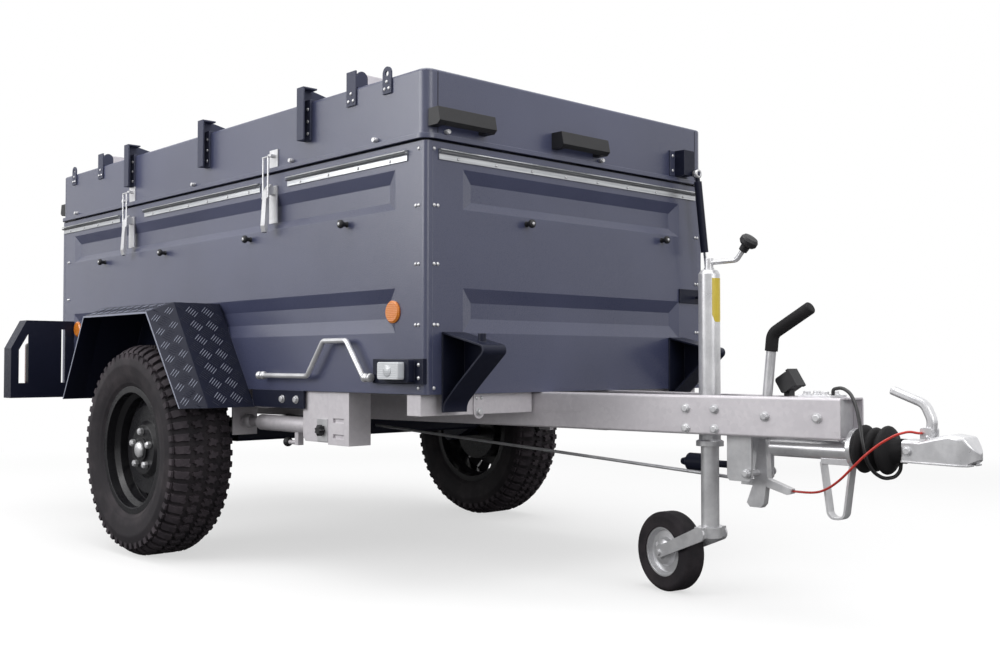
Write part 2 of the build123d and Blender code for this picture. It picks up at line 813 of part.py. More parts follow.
with BuildPart() as brake_bracket:
    outline = [(nose + ahead, z) for ahead, z in bracket_outline]
    near, far = bracket_half
    for side in sides:
        plate_xz(outline, (side * near, side * far))
    bracket_rear = outline[0][0]
    block((bracket_rear, bracket_rear + bracket_web), (-far, far), (bracket_web_low, beam_bottom_z))
    ahead, z, radius = brake_bolt
    bar((nose + ahead, -far - brake_bolt_past, z), (nose + ahead, far + brake_bolt_past, z), radius)
    plate_xz([(nose + ahead, z) for ahead, z in brake_lever], (-brake_lever_half, brake_lever_half))
    ahead, z, radius = rod_pin
    bar((nose + ahead, 0, z), (nose + ahead, rod_y + radius, z), radius)
    rear, front, low, high = rod_lug
    block((nose + rear, nose + front), (0, brake_lever_half), (low, high))
    length, out, low, high = spring_lug
    block((bracket_rear, bracket_rear + length), (near, out), (low, high))
save(brake_bracket.part, "brake_bracket")

with BuildPart() as brake_spring:
    turned((nose, spring_y, spring_z), (1, 0, 0), spring_outline)
save(brake_spring.part, "brake_spring")

with BuildPart() as brake_rod:
    rod_end = nose + rod_pin[0] - rod_pin[2] - seat_gap
    rod_start = (axle_x + axle_square / 2 + seat_gap, rod_y, axle_z - rod_drop)
    bar(rod_start, (rod_end, rod_y, rod_pin[1]), rod_radius)
save(brake_rod.part, "brake_rod")

# Safety strap: a bent strip that hangs below the draw tube
strap_path = ((-80, 408), (-60, 267), (-18, 267), (2, 408))
strap_bends = [19, 19]
strap_width = 28
strap_sheet = 6
strap_saddle = 15
with BuildPart() as coupling_strap:
    path = [(nose + ahead, 0, z) for ahead, z in strap_path]
    bent_strip(path, (0, 1, 0), strap_width, strap_sheet, strap_bends)
    rear, front = path[0][0], path[-1][0]
    saddle_z = (path[0][2] - strap_sheet, draw_tube_z - strap_saddle)
    block((rear, front), (-strap_width / 2, strap_width / 2), saddle_z)
    tube = draw_tube_radius + running_gap
    bar((rear, 0, draw_tube_z), (front, 0, draw_tube_z), tube, mode=Mode.SUBTRACT)
save(coupling_strap.part, "coupling_strap")

# Plug holder on the left beam: stem and tilted socket with its lid
plug_at = (-206, 43)
plug_size = 46
plug_tilt = 32
plug_lift = 36
plug_round = 8
plug_lid = 8
plug_lid_past = 6
plug_stem = (9, 12)
with BuildPart() as plug_holder:
    centre = (nose + plug_at[0], plug_at[1], beam_top_z + plug_lift)
    tilted = (cos(radians(plug_tilt)), 0, sin(radians(plug_tilt)))
    near_face = Plane(origin=centre, x_dir=tilted, z_dir=(0, 1, 0)).offset(-plug_size / 2)
    with BuildSketch(near_face) as socket:
        RectangleRounded(plug_size, plug_size, plug_round)
        with Locations((plug_size / 2, 0)):
            Rectangle(plug_lid, plug_size + plug_lid_past)
    extrude(socket.sketch, amount=plug_size)
    stem_x, stem_y = plug_stem
    block(
        (centre[0] - stem_x, centre[0] + stem_x),
        (centre[1] - stem_y, centre[1] + stem_y),
        (beam_top_z, centre[2]),
    )
save(plug_holder.part, "plug_holder")

# Cables between the drawbar's fittings, as places ahead of the nose: black lead and red breakaway cable
lead_radius = 4.5
lead_route = (
    (-44, -14, 577), (-44, -14, 592), (-18, -17, 597), (8, -24, 585), (28, -36, 562), (45, -51, 532),
    (58, -64, 498), (68, -70, 460), (74, -66, 424), (82, -48, 394), (96, -22, 378), (112, 2, 382),
    (122, 9, 398), (124, 8, 416),
)
breakaway_radius = 3
cord_share = 0.45
breakaway_route = (
    (-169.7, 0, 324), (-122, 0, 324), (-76, -26, 332), (-30, -54, 350), (12, -76, 375), (47, -86, 405),
    (82, -88, 438), (117, -80, 468), (148, -62, 489), (172, -45, 497), (190, -35, 493), (190, -20.3, 493),
)


def cord(route, radius):
    points = [Vector(nose + ahead, y, z) for ahead, y, z in route]
    bends = []
    for before, corner, after in zip(points, points[1:], points[2:]):
        turn = radians((corner - before).get_angle(after - corner))
        shorter = min((corner - before).length, (after - corner).length)
        bends.append(cord_share * shorter / tan(turn / 2))
    print("cord radius", radius, "bends", [round(bend, 1) for bend in bends])
    bent_bar([tuple(point) for point in points], radius, bends)


with BuildPart() as connector_cable:
    cord(lead_route, lead_radius)
print("lead length", round(connector_cable.part.volume / (pi * lead_radius**2)))
save(connector_cable.part, "connector_cable")
with BuildPart() as breakaway_cable:
    cord(breakaway_route, breakaway_radius)
print("breakaway length", round(breakaway_cable.part.volume / (pi * breakaway_radius**2)))
save(breakaway_cable.part, "breakaway_cable")

# Jockey: fixed tube with its clamp, crank, sliding stem, fork and wheel
clamp_span = (-23, 115)
clamp_sheet = 8
clamp_z_gap = 13
clamp_half = beam_half(jockey_at + clamp_span[1]) - beam_sheet - seat_gap
jockey_neck = 14
stem_top = 260
collar_radius = jockey_tube_radius + 8
tube_outline = (  # radius, height
    (0, jockey_flange_z - 8), (collar_radius, jockey_flange_z - 8), (collar_radius, jockey_flange_z + 6),
    (jockey_tube_radius, jockey_flange_z + 10), (jockey_tube_radius, jockey_top_z - 18),
    (jockey_tube_radius - 6, jockey_top_z - 8), (jockey_neck, jockey_top_z - 4), (jockey_neck, jockey_top_z),
    (0, jockey_top_z),
)
clamp_web = jockey_tube_radius - 4
clamp_ring = jockey_tube_radius + 7
bore_low = jockey_flange_z - 30
bore_high = jockey_top_z - 40
with BuildPart() as jockey_tube:
    turned((jockey_at, 0, 0), (0, 0, 1), tube_outline)
    clamp_z = (beam_bottom_z + clamp_z_gap, beam_top_z - clamp_z_gap)
    rear, front = clamp_span
    block((jockey_at + rear, jockey_at + front), (-clamp_half, -clamp_half + clamp_sheet), clamp_z)
    block((jockey_at - clamp_web, jockey_at + clamp_web), (-clamp_half, 0), clamp_z)
    bar((jockey_at, 0, clamp_z[0]), (jockey_at, 0, clamp_z[1]), clamp_ring)
    bore = jockey_stem_radius + running_gap
    bar((jockey_at, 0, bore_low), (jockey_at, 0, bore_high), bore, mode=Mode.SUBTRACT)
save(jockey_tube.part, "jockey_tube")

# Jockey crank: zinc rod bent up into a mushroom knob
crank_boss = (12, 26)
crank_rod = 7
crank_bend = 18
crank_path = ((0, 14), (92, 16), (112, 40))
knob_turned = ((0, 0), (12, 0), (13, 16), (20, 19), (25, 25), (25, 36), (20, 43), (0, 45))
with BuildPart() as jockey_crank:
    radius, rise = crank_boss
    bar((jockey_at, 0, jockey_top_z), (jockey_at, 0, jockey_top_z + rise), radius)
    bent_bar([(jockey_at + ahead, 0, jockey_top_z + z) for ahead, z in crank_path], crank_rod, crank_bend)
save(jockey_crank.part, "jockey_crank")

crank_tip = Vector(jockey_at + crank_path[2][0], 0, jockey_top_z + crank_path[2][1])
crank_turn = (crank_path[2][0] - crank_path[1][0], 0, crank_path[2][1] - crank_path[1][1])
with BuildPart() as jockey_knob:
    turned(tuple(crank_tip), tuple(Vector(*crank_turn).normalized()), knob_turned)
save(jockey_knob.part, "jockey_knob")

stem_bottom = 205
fork_hub = 30
swivel_pin = 10
with BuildPart() as jockey_stem:
    bar((jockey_at, 0, stem_bottom), (jockey_at, 0, jockey_flange_z + stem_top), jockey_stem_radius)
    bar((jockey_at, 0, stem_bottom - fork_hub), (jockey_at, 0, stem_bottom), swivel_pin)
save(jockey_stem.part, "jockey_stem")

trail_dir = Vector(-cos(radians(jockey_yaw)), sin(radians(jockey_yaw)), 0)
jockey_hub = Vector(jockey_at, 0, jockey_wheel_radius) + trail_dir * jockey_trail
jockey_axle = Vector(trail_dir.Y, -trail_dir.X, 0)
fork_side_gap = 6
fork_in = jockey_wheel_width / 2 + fork_side_gap
fork_sheet = 6
fork_collar = 8
fork_head = 20
fork_foot = 16
fork_pin_past = 6
fork_bore_past = 2
with BuildPart() as jockey_fork:
    fork_top = stem_bottom - seat_gap
    bar((jockey_at, 0, fork_top - fork_hub), (jockey_at, 0, fork_top), jockey_stem_radius + fork_collar)
    arm_plane = Plane(origin=(jockey_at, 0, 0), x_dir=trail_dir, z_dir=jockey_axle)
    for out in (-fork_in - fork_sheet, fork_in):
        with BuildSketch(arm_plane.offset(out)) as arm:
            with Locations((0, fork_top - fork_head)):
                Circle(fork_head)
            with Locations((jockey_trail, jockey_wheel_radius)):
                Circle(fork_foot)
            make_hull()
        extrude(arm.sketch, amount=fork_sheet)
    yoke_plane = Plane(origin=(jockey_at, 0, fork_top - fork_hub), x_dir=trail_dir, z_dir=(0, 0, 1))
    with BuildSketch(yoke_plane) as yoke:
        Rectangle(fork_hub, 2 * (fork_in + fork_sheet))
    extrude(yoke.sketch, amount=fork_hub)
    bar(
        (jockey_at, 0, stem_bottom - fork_hub - fork_bore_past),
        (jockey_at, 0, stem_bottom),
        swivel_pin + running_gap,
        mode=Mode.SUBTRACT,
    )
    pin_reach = jockey_axle * (fork_in + fork_sheet + fork_pin_past)
    bar(tuple(jockey_hub - pin_reach), tuple(jockey_hub + pin_reach), jockey_pin_radius)
save(jockey_fork.part, "jockey_fork")

tread_round = 16
jockey_plane = Plane(origin=jockey_hub, x_dir=(0, 0, 1), z_dir=jockey_axle)
jockey_flank = jockey_wheel_width / 2
with BuildPart() as jockey_tyre:
    with BuildSketch(jockey_plane * Plane.XZ) as section:
        with Locations(((jockey_rim_radius + jockey_wheel_radius) / 2, 0)):
            Rectangle(jockey_wheel_radius - jockey_rim_radius, jockey_wheel_width)
        fillet(section.vertices().group_by(Axis.X)[-1], radius=tread_round)
    revolve(section.sketch, axis=Axis(jockey_hub, jockey_axle))
save(jockey_tyre.part, "jockey_tyre")

jockey_bore = jockey_pin_radius + running_gap
rim_half_outline = (
    (jockey_bore, jockey_flank + 2), (22, jockey_flank + 2), (36, jockey_flank - 4), (42, jockey_flank - 16),
    (60, jockey_flank - 18), (66, jockey_flank - 4), (jockey_rim_radius, jockey_flank - 4),
)
with BuildPart() as jockey_rim:
    with BuildSketch(jockey_plane * Plane.XZ) as section:
        with BuildLine():
            mirrored = [(radius, -out) for radius, out in reversed(rim_half_outline)]
            Polyline(*rim_half_outline, *mirrored, close=True)
        make_face()
    revolve(section.sketch, axis=Axis(jockey_hub, jockey_axle))
save(jockey_rim.part, "jockey_rim")

# Stowed crank on the right-hand side: distance back and height of its bends
crank_bends = ((-821, 618), (-540, 618), (-454, 724), (-335, 724), (-250, 618), (-212, 616))
crank_out = 26
crank_radius = 8
crank_clips = ((-700, 618), (-394, 724))
crank_clip = 10
crank_clip_half = 6
stowed_bend = 20
with BuildPart() as stowed_crank:
    stowed_path = [(box_front + back, -half - crank_out, z) for back, z in crank_bends]
    bent_bar(stowed_path, crank_radius, stowed_bend)
    for back, z in crank_clips:
        x = box_front + back
        clip_z = (z - crank_clip_half, z + crank_clip_half)
        block((x - crank_clip, x + crank_clip), (-half - crank_out, -half), clip_z)
save(stowed_crank.part, "stowed_crank")

# Hinges along the left-hand side
hinge_shares = (0.9008, 0.5, 0.0992)
hinge_leaf = 70
hinge_sheet = 6
hinge_slice = 34
hinge_side_gap = 0.5
hinge_past = 2
hinge_foot_low = 40
hinge_foot_high = 20
with BuildPart() as box_hinges:
    stand = half + rail_depth + hinge_past
    for share in hinge_shares:
        x = along(share)
        reach = 1.5 * hinge_slice
        block((x - reach, x + reach), (half, half + hinge_sheet), (rail_z - hinge_leaf, rail_z - hinge_sheet))
        bar((x - reach, hinge_y, hinge_z), (x + reach, hinge_y, hinge_z), hinge_pin)
        for slot in (-1, 1):
            xs = (x + slot * (hinge_slice / 2 + hinge_side_gap), x + slot * reach)
            foot_z = (rail_z - hinge_foot_low, rail_z - hinge_foot_high)
            block(xs, (stand, stand + hinge_sheet), (foot_z[0], hinge_z))
            block(xs, (half, stand + hinge_sheet), foot_z)
            block(xs, (stand, hinge_y), (hinge_z - hinge_sheet, hinge_z))
            bar((xs[0], hinge_y, hinge_z), (xs[1], hinge_y, hinge_z), hinge_knuckle)
save(box_hinges.part, "box_hinges")

# Lid fittings: hinge leaves, keepers for the latches and turn studs
stud_shares = (0.9357, 0.7476, 0.521, 0.2643, 0.0881)
stud_across = (-0.885, 0.142)
stud_z = lid_bottom + 23
stud_outline = ((0, 0), (7, 0), (7, 8), (5, 9), (5, 12), (7, 13), (6, 16), (0, 16))
leaf_gap = 1
leaf_past = 20
leaf_neck = 4
leaf_neck_rise = 2
leaf_neck_in = 3
keeper_half = 24
keeper_sheet = 4
keeper_top = lid_bottom + 73
keeper_hook = (10, 1326, 1334)
with BuildPart() as lid_fittings:
    leaf_low = lid_bottom + lid_lip_height + leaf_gap
    for share in hinge_shares:
        x = along(share)
        reach = hinge_slice / 2 - hinge_side_gap
        xs = (x - reach, x + reach)
        leaf_z = (leaf_low, lid_bottom + hinge_leaf + leaf_past)
        block(xs, (half, half + hinge_sheet), leaf_z)
        block(xs, (half, hinge_y + leaf_neck), (leaf_low, leaf_low + hinge_sheet))
        neck_z = (hinge_z + leaf_neck_rise, leaf_low + leaf_neck_in)
        block(xs, (hinge_y - leaf_neck, hinge_y + leaf_neck), neck_z)
        bar((xs[0], hinge_y, hinge_z), (xs[1], hinge_y, hinge_z), hinge_knuckle)
        bar((xs[0], hinge_y, hinge_z), (xs[1], hinge_y, hinge_z), hinge_pin + running_gap, mode=Mode.SUBTRACT)
    for share in latch_shares:
        x = along(share)
        block((x - keeper_half, x + keeper_half), (-half - keeper_sheet, -half), (leaf_low, keeper_top))
        hook_half, low, high = keeper_hook
        hook_y = (-half - keeper_out, -half - keeper_sheet)
        block((x - hook_half, x + hook_half), hook_y, (low, high))
    for share in stud_shares:
        turned((along(share), -half, stud_z), (0, -1, 0), stud_outline)
    for end, facing in ends:
        for share in stud_across:
            turned((end, share * half, stud_z), (facing, 0, 0), stud_outline)
save(lid_fittings.part, "lid_fittings")

# Lid handles: moulded grips with block ends and a broad front face
handle_centres = (-0.816, -0.04)
handle_length = 212
handle_z = (lid_bottom + 32, lid_bottom + 81)
handle_out = 50
handle_grip = 16
handle_foot = 26
handle_slope = 8
handle_chin = 10
handle_lip = 12
grip_lip = 10
with BuildPart() as lid_handles:
    low, high = handle_z
    chin = (handle_out, low + handle_chin)
    brow = (handle_out - handle_slope, high)
    foot_outline = ((0, low), (handle_out - handle_lip, low), chin, brow, (0, high))
    grip_back = handle_out - handle_grip
    grip_outline = ((grip_back, low), (handle_out - grip_lip, low), chin, brow, (grip_back, high))
    for end, facing in ends:
        for share in handle_centres:
            y = share * half
            reach = handle_length / 2
            inner = reach - handle_foot
            for span in ((y - reach, y - inner), (y + inner, y + reach)):
                plate_xz([(end + facing * out, z) for out, z in foot_outline], span)
            plate_xz([(end + facing * out, z) for out, z in grip_outline], (y - inner, y + inner))
save(lid_handles.part, "lid_handles")

# Lid brackets on the right-hand edge: channels, ears of the fold-out legs, eye tabs, gas spring mounts
angle_shares = (0.2302, 0.4841, 0.7222)
ear_shares = (0.1369, 0.8413)
tab_shares = (0.0675, 0.9484)
bracket_sheet = 5
angle_half = 19
angle_depth = 30
angle_low = lid_bottom + 73
angle_top = lid_top + 42
angle_reach = 150
angle_head = 20
angle_tip = 14
ear_low = lid_bottom + 143
ear_round = 20
ear_foot = 60
tab_half = 20
tab_low = lid_bottom + 149
tab_eye_z = lid_top + 11
tab_hole = 8
lid_leg_y = -half + 20
lid_leg_z = lid_top + lid_leg_rise
ear_gap = lid_leg_square / 2 + 3
gas_plate = (76, 18, 1294, 1380)
gas_plate_sheet = 6
gas_stud_past = 10

with BuildPart() as lid_brackets:
    edge = -half - angle_depth
    tip = -half + angle_reach
    head = -half + angle_head
    lid_skin = lid_top + bracket_sheet
    for share in angle_shares:
        x = along(share)
        channel = (x - angle_half, x + angle_half)
        web = (
            (edge, angle_low), (-half, angle_low), (-half, lid_top), (tip, lid_top),
            (tip, lid_top + angle_tip), (head, angle_top), (edge, angle_top),
        )
        plate_yz(web, (x - angle_half, x - angle_half + bracket_sheet))
        block(channel, (-half - bracket_sheet, -half), (angle_low, lid_skin))
        block(channel, (-half, tip), (lid_top, lid_skin))
        block(channel, (edge, edge + bracket_sheet), (angle_low, angle_top))
        block(channel, (edge, head), (angle_top - bracket_sheet, angle_top))
    for share in ear_shares:
        x = along(share)
        out = ear_gap + bracket_sheet
        block((x - out, x + out), (-half - bracket_sheet, -half), (ear_low, lid_leg_z + ear_round))
        block((x - out, x + out), (-half - bracket_sheet, -half + ear_foot), (lid_top, lid_skin))
        for slot in (-1, 1):
            xs = sorted((x + slot * ear_gap, x + slot * out))
            block(xs, (-half - bracket_sheet, -half + 2 * ear_round), (lid_top, lid_leg_z))
            bar((xs[0], lid_leg_y, lid_leg_z), (xs[1], lid_leg_y, lid_leg_z), ear_round)
        bar((x - ear_gap, lid_leg_y, lid_leg_z), (x + ear_gap, lid_leg_y, lid_leg_z), lid_leg_pin)
    for share in tab_shares:
        x = along(share)
        block((x - tab_half, x + tab_half), (-half - bracket_sheet, -half), (tab_low, tab_eye_z))
        bar((x, -half - bracket_sheet, tab_eye_z), (x, -half, tab_eye_z), tab_half)
        bar((x, -half - bracket_sheet, tab_eye_z), (x, -half, tab_eye_z), tab_hole, mode=Mode.SUBTRACT)
    for end, facing in ends:
        near, far, low, high = gas_plate
        block((end, end + facing * gas_plate_sheet), (gas_top_y - near, gas_top_y + far), (low, high))
        stud_end = end + facing * (gas_stand_off + gas_stud_past)
        bar((end, gas_top_y, gas_top_z), (stud_end, gas_top_y, gas_top_z), gas_stud_radius)
save(lid_brackets.part, "lid_brackets")

# Fold-out legs: square tube on a pin, with a round foot
leg_neck = (60, 10)
leg_foot = (8, 24)
for name, share in zip(("lid_leg_front", "lid_leg_rear"), ear_shares):
    x = along(share)
    h = lid_leg_square / 2
    leg_end = lid_leg_y + lid_leg_length
    with BuildPart() as lid_leg:
        bar((x - h, lid_leg_y, lid_leg_z), (x + h, lid_leg_y, lid_leg_z), h)
        block((x - h, x + h), (lid_leg_y, leg_end - leg_neck[0]), (lid_leg_z - h, lid_leg_z + h))
        bar((x, leg_end - leg_neck[0], lid_leg_z), (x, leg_end - leg_foot[0], lid_leg_z), leg_neck[1])
        bar((x, leg_end - leg_foot[0], lid_leg_z), (x, leg_end, lid_leg_z), leg_foot[1])
        hole = lid_leg_pin + running_gap
        bar((x - h, lid_leg_y, lid_leg_z), (x + h, lid_leg_y, lid_leg_z), hole, mode=Mode.SUBTRACT)
    save(lid_leg.part, name)

# Gas springs, with the lower bracket on the box
gas_run = Vector(0, gas_low_y - gas_top_y, gas_low_z - gas_top_z).normalized()
gas_eye = 9
gas_eye_gap = 5
gas_eye_rim = 2
gas_low_plate = (90, 18, 22, 26, 5)
gas_neck = (6, 30, 8)
gas_neck_in = 4
gas_top_eye = (8, 14)
gas_bore_from = 60
gas_rod_from = 80
with BuildPart() as gas_brackets:
    for end, facing in ends:
        near, far, below, above, sheet = gas_low_plate
        plate_z = (gas_low_z - below, gas_low_z + above)
        block((end, end + facing * sheet), (gas_low_y - near, gas_low_y + far), plate_z)
        stud_end = end + facing * (gas_stand_off - gas_eye - gas_eye_gap)
        bar((end, gas_low_y, gas_low_z), (stud_end, gas_low_y, gas_low_z), gas_stud_radius)
save(gas_brackets.part, "gas_brackets")

for word, (end, facing) in zip(("front", "rear"), ends):
    x = end + facing * gas_stand_off
    top = Vector(x, gas_top_y, gas_top_z)
    low = Vector(x, gas_low_y, gas_low_z)
    cylinder_end = tuple(top + gas_run * gas_cylinder_length)
    with BuildPart() as gas_cylinder:
        start, stop, radius = gas_neck
        bar(tuple(top + gas_run * start), tuple(top + gas_run * stop), radius)
        bar(tuple(top + gas_run * (stop - gas_neck_in)), cylinder_end, gas_cylinder_radius)
        reach, radius = gas_top_eye
        bar((x - reach, gas_top_y, gas_top_z), (x + reach, gas_top_y, gas_top_z), radius)
        bar(
            (x - reach, gas_top_y, gas_top_z),
            (x + reach, gas_top_y, gas_top_z),
            gas_stud_radius + running_gap,
            mode=Mode.SUBTRACT,
        )
        bore = gas_rod_radius + running_gap
        bar(tuple(top + gas_run * gas_bore_from), cylinder_end, bore, mode=Mode.SUBTRACT)
    save(gas_cylinder.part, f"gas_cylinder_{word}")
    with BuildPart() as gas_rod:
        bar(tuple(top + gas_run * gas_rod_from), tuple(low), gas_rod_radius)
        bar((x - gas_eye, gas_low_y, gas_low_z), (x + gas_eye, gas_low_y, gas_low_z), gas_eye + gas_eye_rim)
    save(gas_rod.part, f"gas_rod_{word}")

# Swivel support legs: clamp block and mounting plate on the cross member, and the leg that swings down
prop_pivot_x = box_front - prop_pivot_back
prop_cheek = 8
prop_cheek_gap = 3
prop_cheek_span = (-20, 130)
prop_cheek_drop = 45
prop_cheek_bevel = 14
prop_block = (122, 230, 40, 50)
prop_slot = (148, 204, 6)
prop_slot_zs = (430, 478)
prop_slot_high = 12
with BuildPart() as leg_mounts:
    for side in sides:
        y = side * (half - prop_in)
        reach = prop_radius + prop_cheek_gap
        rear, front = prop_cheek_span
        for slot in (-1, 1):
            cheek = sorted((y + slot * reach, y + slot * (reach + prop_cheek)))
            back, ahead, low = prop_pivot_x + rear, prop_pivot_x + front, prop_z - prop_cheek_drop
            corners = (
                (back, low + prop_cheek_bevel), (back + prop_cheek_bevel, low), (ahead, low),
                (ahead, floor_z), (back, floor_z),
            )
            plate_xz(corners, cheek)
        rear, front, across, drop = prop_block
        block((prop_pivot_x + rear, prop_pivot_x + front), (y - across, y + across), (prop_z - drop, floor_z))
        rear, front, depth = prop_slot
        for z in prop_slot_zs:
            ys = sorted((y + side * (across - depth), y + side * across))
            xs = (prop_pivot_x + rear, prop_pivot_x + front)
            block(xs, ys, (z, z + prop_slot_high), mode=Mode.SUBTRACT)
        bar((prop_pivot_x, y - reach, prop_z), (prop_pivot_x, y + reach, prop_z), prop_pin)
save(leg_mounts.part, "leg_mounts")

prop_sleeve = 325
prop_end = 22
prop_tube = 16
prop_neck = 14
prop_ball = 24
prop_ball_in = 36
prop_plate = 95
prop_plate_sheet = 6
pull_back = 110
pull_z = 402
pull_radius = 7
pull_length = 56
pull_ball = 15
pull_lug = 20


def arc_reach(ball, neck):
    return (ball**2 - neck**2) ** 0.5


for name, side in (("support_leg_right", right), ("support_leg_left", left)):
    y = side * (half - prop_in)
    foot_x = prop_pivot_x - prop_reach
    sheet_x = foot_x + prop_plate_sheet
    knuckle_x = foot_x + prop_ball_in
    neck_end = (knuckle_x - arc_reach(prop_ball, prop_neck), prop_z + prop_neck)
    tube_end = (knuckle_x + arc_reach(prop_ball, prop_tube), prop_z + prop_tube)
    pull_x = prop_pivot_x - pull_back
    pull_end = pull_x - pull_length
    pull_neck = (pull_end + arc_reach(pull_ball, pull_radius), pull_z + pull_radius)
    with BuildPart() as support_leg:
        with BuildSketch(Plane.XZ.offset(-y)) as section:
            with BuildLine():
                Polyline(
                    neck_end,
                    (sheet_x, neck_end[1]),
                    (sheet_x, prop_z),
                    (prop_pivot_x + prop_end, prop_z),
                    (prop_pivot_x + prop_end, prop_z + prop_radius),
                    (prop_pivot_x - prop_sleeve, prop_z + prop_radius),
                    (prop_pivot_x - prop_sleeve, tube_end[1]),
                    tube_end,
                )
                ThreePointArc(tube_end, (knuckle_x, prop_z + prop_ball), neck_end)
            make_face()
        revolve(section.sketch, axis=Axis((0, y, prop_z), (1, 0, 0)))
        plate = prop_plate / 2
        block((foot_x, sheet_x), (y - plate, y + plate), (prop_z - plate, prop_z + plate))
        lug_y = (y - pull_lug / 2, y + pull_lug / 2)
        block((pull_x, pull_x + pull_lug), lug_y, (pull_z - pull_radius, prop_z))
        with BuildSketch(Plane.XZ.offset(-y)) as section:
            with BuildLine():
                Polyline((pull_end - pull_ball, pull_z), (pull_x, pull_z), (pull_x, pull_neck[1]), pull_neck)
                ThreePointArc(pull_neck, (pull_end, pull_z + pull_ball), (pull_end - pull_ball, pull_z))
            make_face()
        revolve(section.sketch, axis=Axis((0, y, pull_z), (1, 0, 0)))
        bar(
            (prop_pivot_x, y - prop_radius, prop_z),
            (prop_pivot_x, y + prop_radius, prop_z),
            prop_pin + running_gap,
            mode=Mode.SUBTRACT,
        )
    save(support_leg.part, name)
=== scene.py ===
import bpy
import json
from math import atan2, cos, radians, sin, tau
from mathutils import Matrix, Vector


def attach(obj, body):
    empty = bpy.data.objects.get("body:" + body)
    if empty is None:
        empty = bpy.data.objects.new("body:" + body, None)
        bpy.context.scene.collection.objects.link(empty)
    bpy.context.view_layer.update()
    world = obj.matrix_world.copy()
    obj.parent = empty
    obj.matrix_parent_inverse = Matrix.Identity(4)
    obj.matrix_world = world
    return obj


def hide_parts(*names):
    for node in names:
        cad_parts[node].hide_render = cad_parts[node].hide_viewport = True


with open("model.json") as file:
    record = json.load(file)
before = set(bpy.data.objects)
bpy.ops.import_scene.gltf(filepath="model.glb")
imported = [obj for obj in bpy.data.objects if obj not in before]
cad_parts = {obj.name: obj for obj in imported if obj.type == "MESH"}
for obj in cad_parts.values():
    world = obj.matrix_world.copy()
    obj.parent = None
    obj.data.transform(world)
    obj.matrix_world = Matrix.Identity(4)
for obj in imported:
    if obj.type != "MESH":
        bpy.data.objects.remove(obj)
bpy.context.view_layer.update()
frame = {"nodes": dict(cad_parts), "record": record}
nodes = frame["nodes"]
print("frame loaded,", len(nodes), "nodes")


def edgeOf(name, axis, furthest):  # where a solid ends along an axis
    solid = nodes[name]
    places = [(solid.matrix_world @ Vector(corner))[axis] for corner in solid.bound_box]
    return round(furthest(places), 5)


# Places that the trim is measured from
boxFront = edgeOf("wall_front", 0, max)
boxRear = edgeOf("wall_rear", 0, min)
boxLength = boxFront - boxRear
half = edgeOf("wall_left", 1, max)  # half the width of the box
noseX = edgeOf("drawbar_left", 0, max)
bothSides = (("right", -1), ("left", 1))
bothEnds = (("front", boxFront, 1), ("rear", boxRear, -1))


def along(share):  # a share of the box's length, back from its front
    return boxFront - share * boxLength


def linear(red, green, blue):  # 0-255 screen values to a shader colour
    def one(value):
        value = value / 255
        return value / 12.92 if value < 0.04045 else ((value + 0.055) / 1.055) ** 2.4
    return (one(red), one(green), one(blue), 1)


def feed(tree, socket, value):
    if isinstance(value, Value):
        value = value.socket
    if isinstance(value, bpy.types.NodeSocket):
        tree.links.new(value, socket)
    else:
        socket.default_value = value


def addNode(tree, kind, settings=None, sockets=None):
    made = tree.nodes.new(kind)
    for key, value in (settings or {}).items():
        setattr(made, key, value)
    for key, value in (sockets or {}).items():
        feed(tree, made.inputs[key], value)
    return made


class Value:  # a number that changes over a surface
    def __init__(self, tree, socket):
        self.tree = tree
        self.socket = socket

    def math(self, operation, first, second):
        made = addNode(self.tree, "ShaderNodeMath", {"operation": operation}, {0: first, 1: second})
        return Value(self.tree, made.outputs[0])

    def __add__(self, other):
        return self.math("ADD", self, other)

    def __radd__(self, other):
        return self.math("ADD", other, self)

    def __sub__(self, other):
        return self.math("SUBTRACT", self, other)

    def __mul__(self, other):
        return self.math("MULTIPLY", self, other)

    def __rmul__(self, other):
        return self.math("MULTIPLY", other, self)


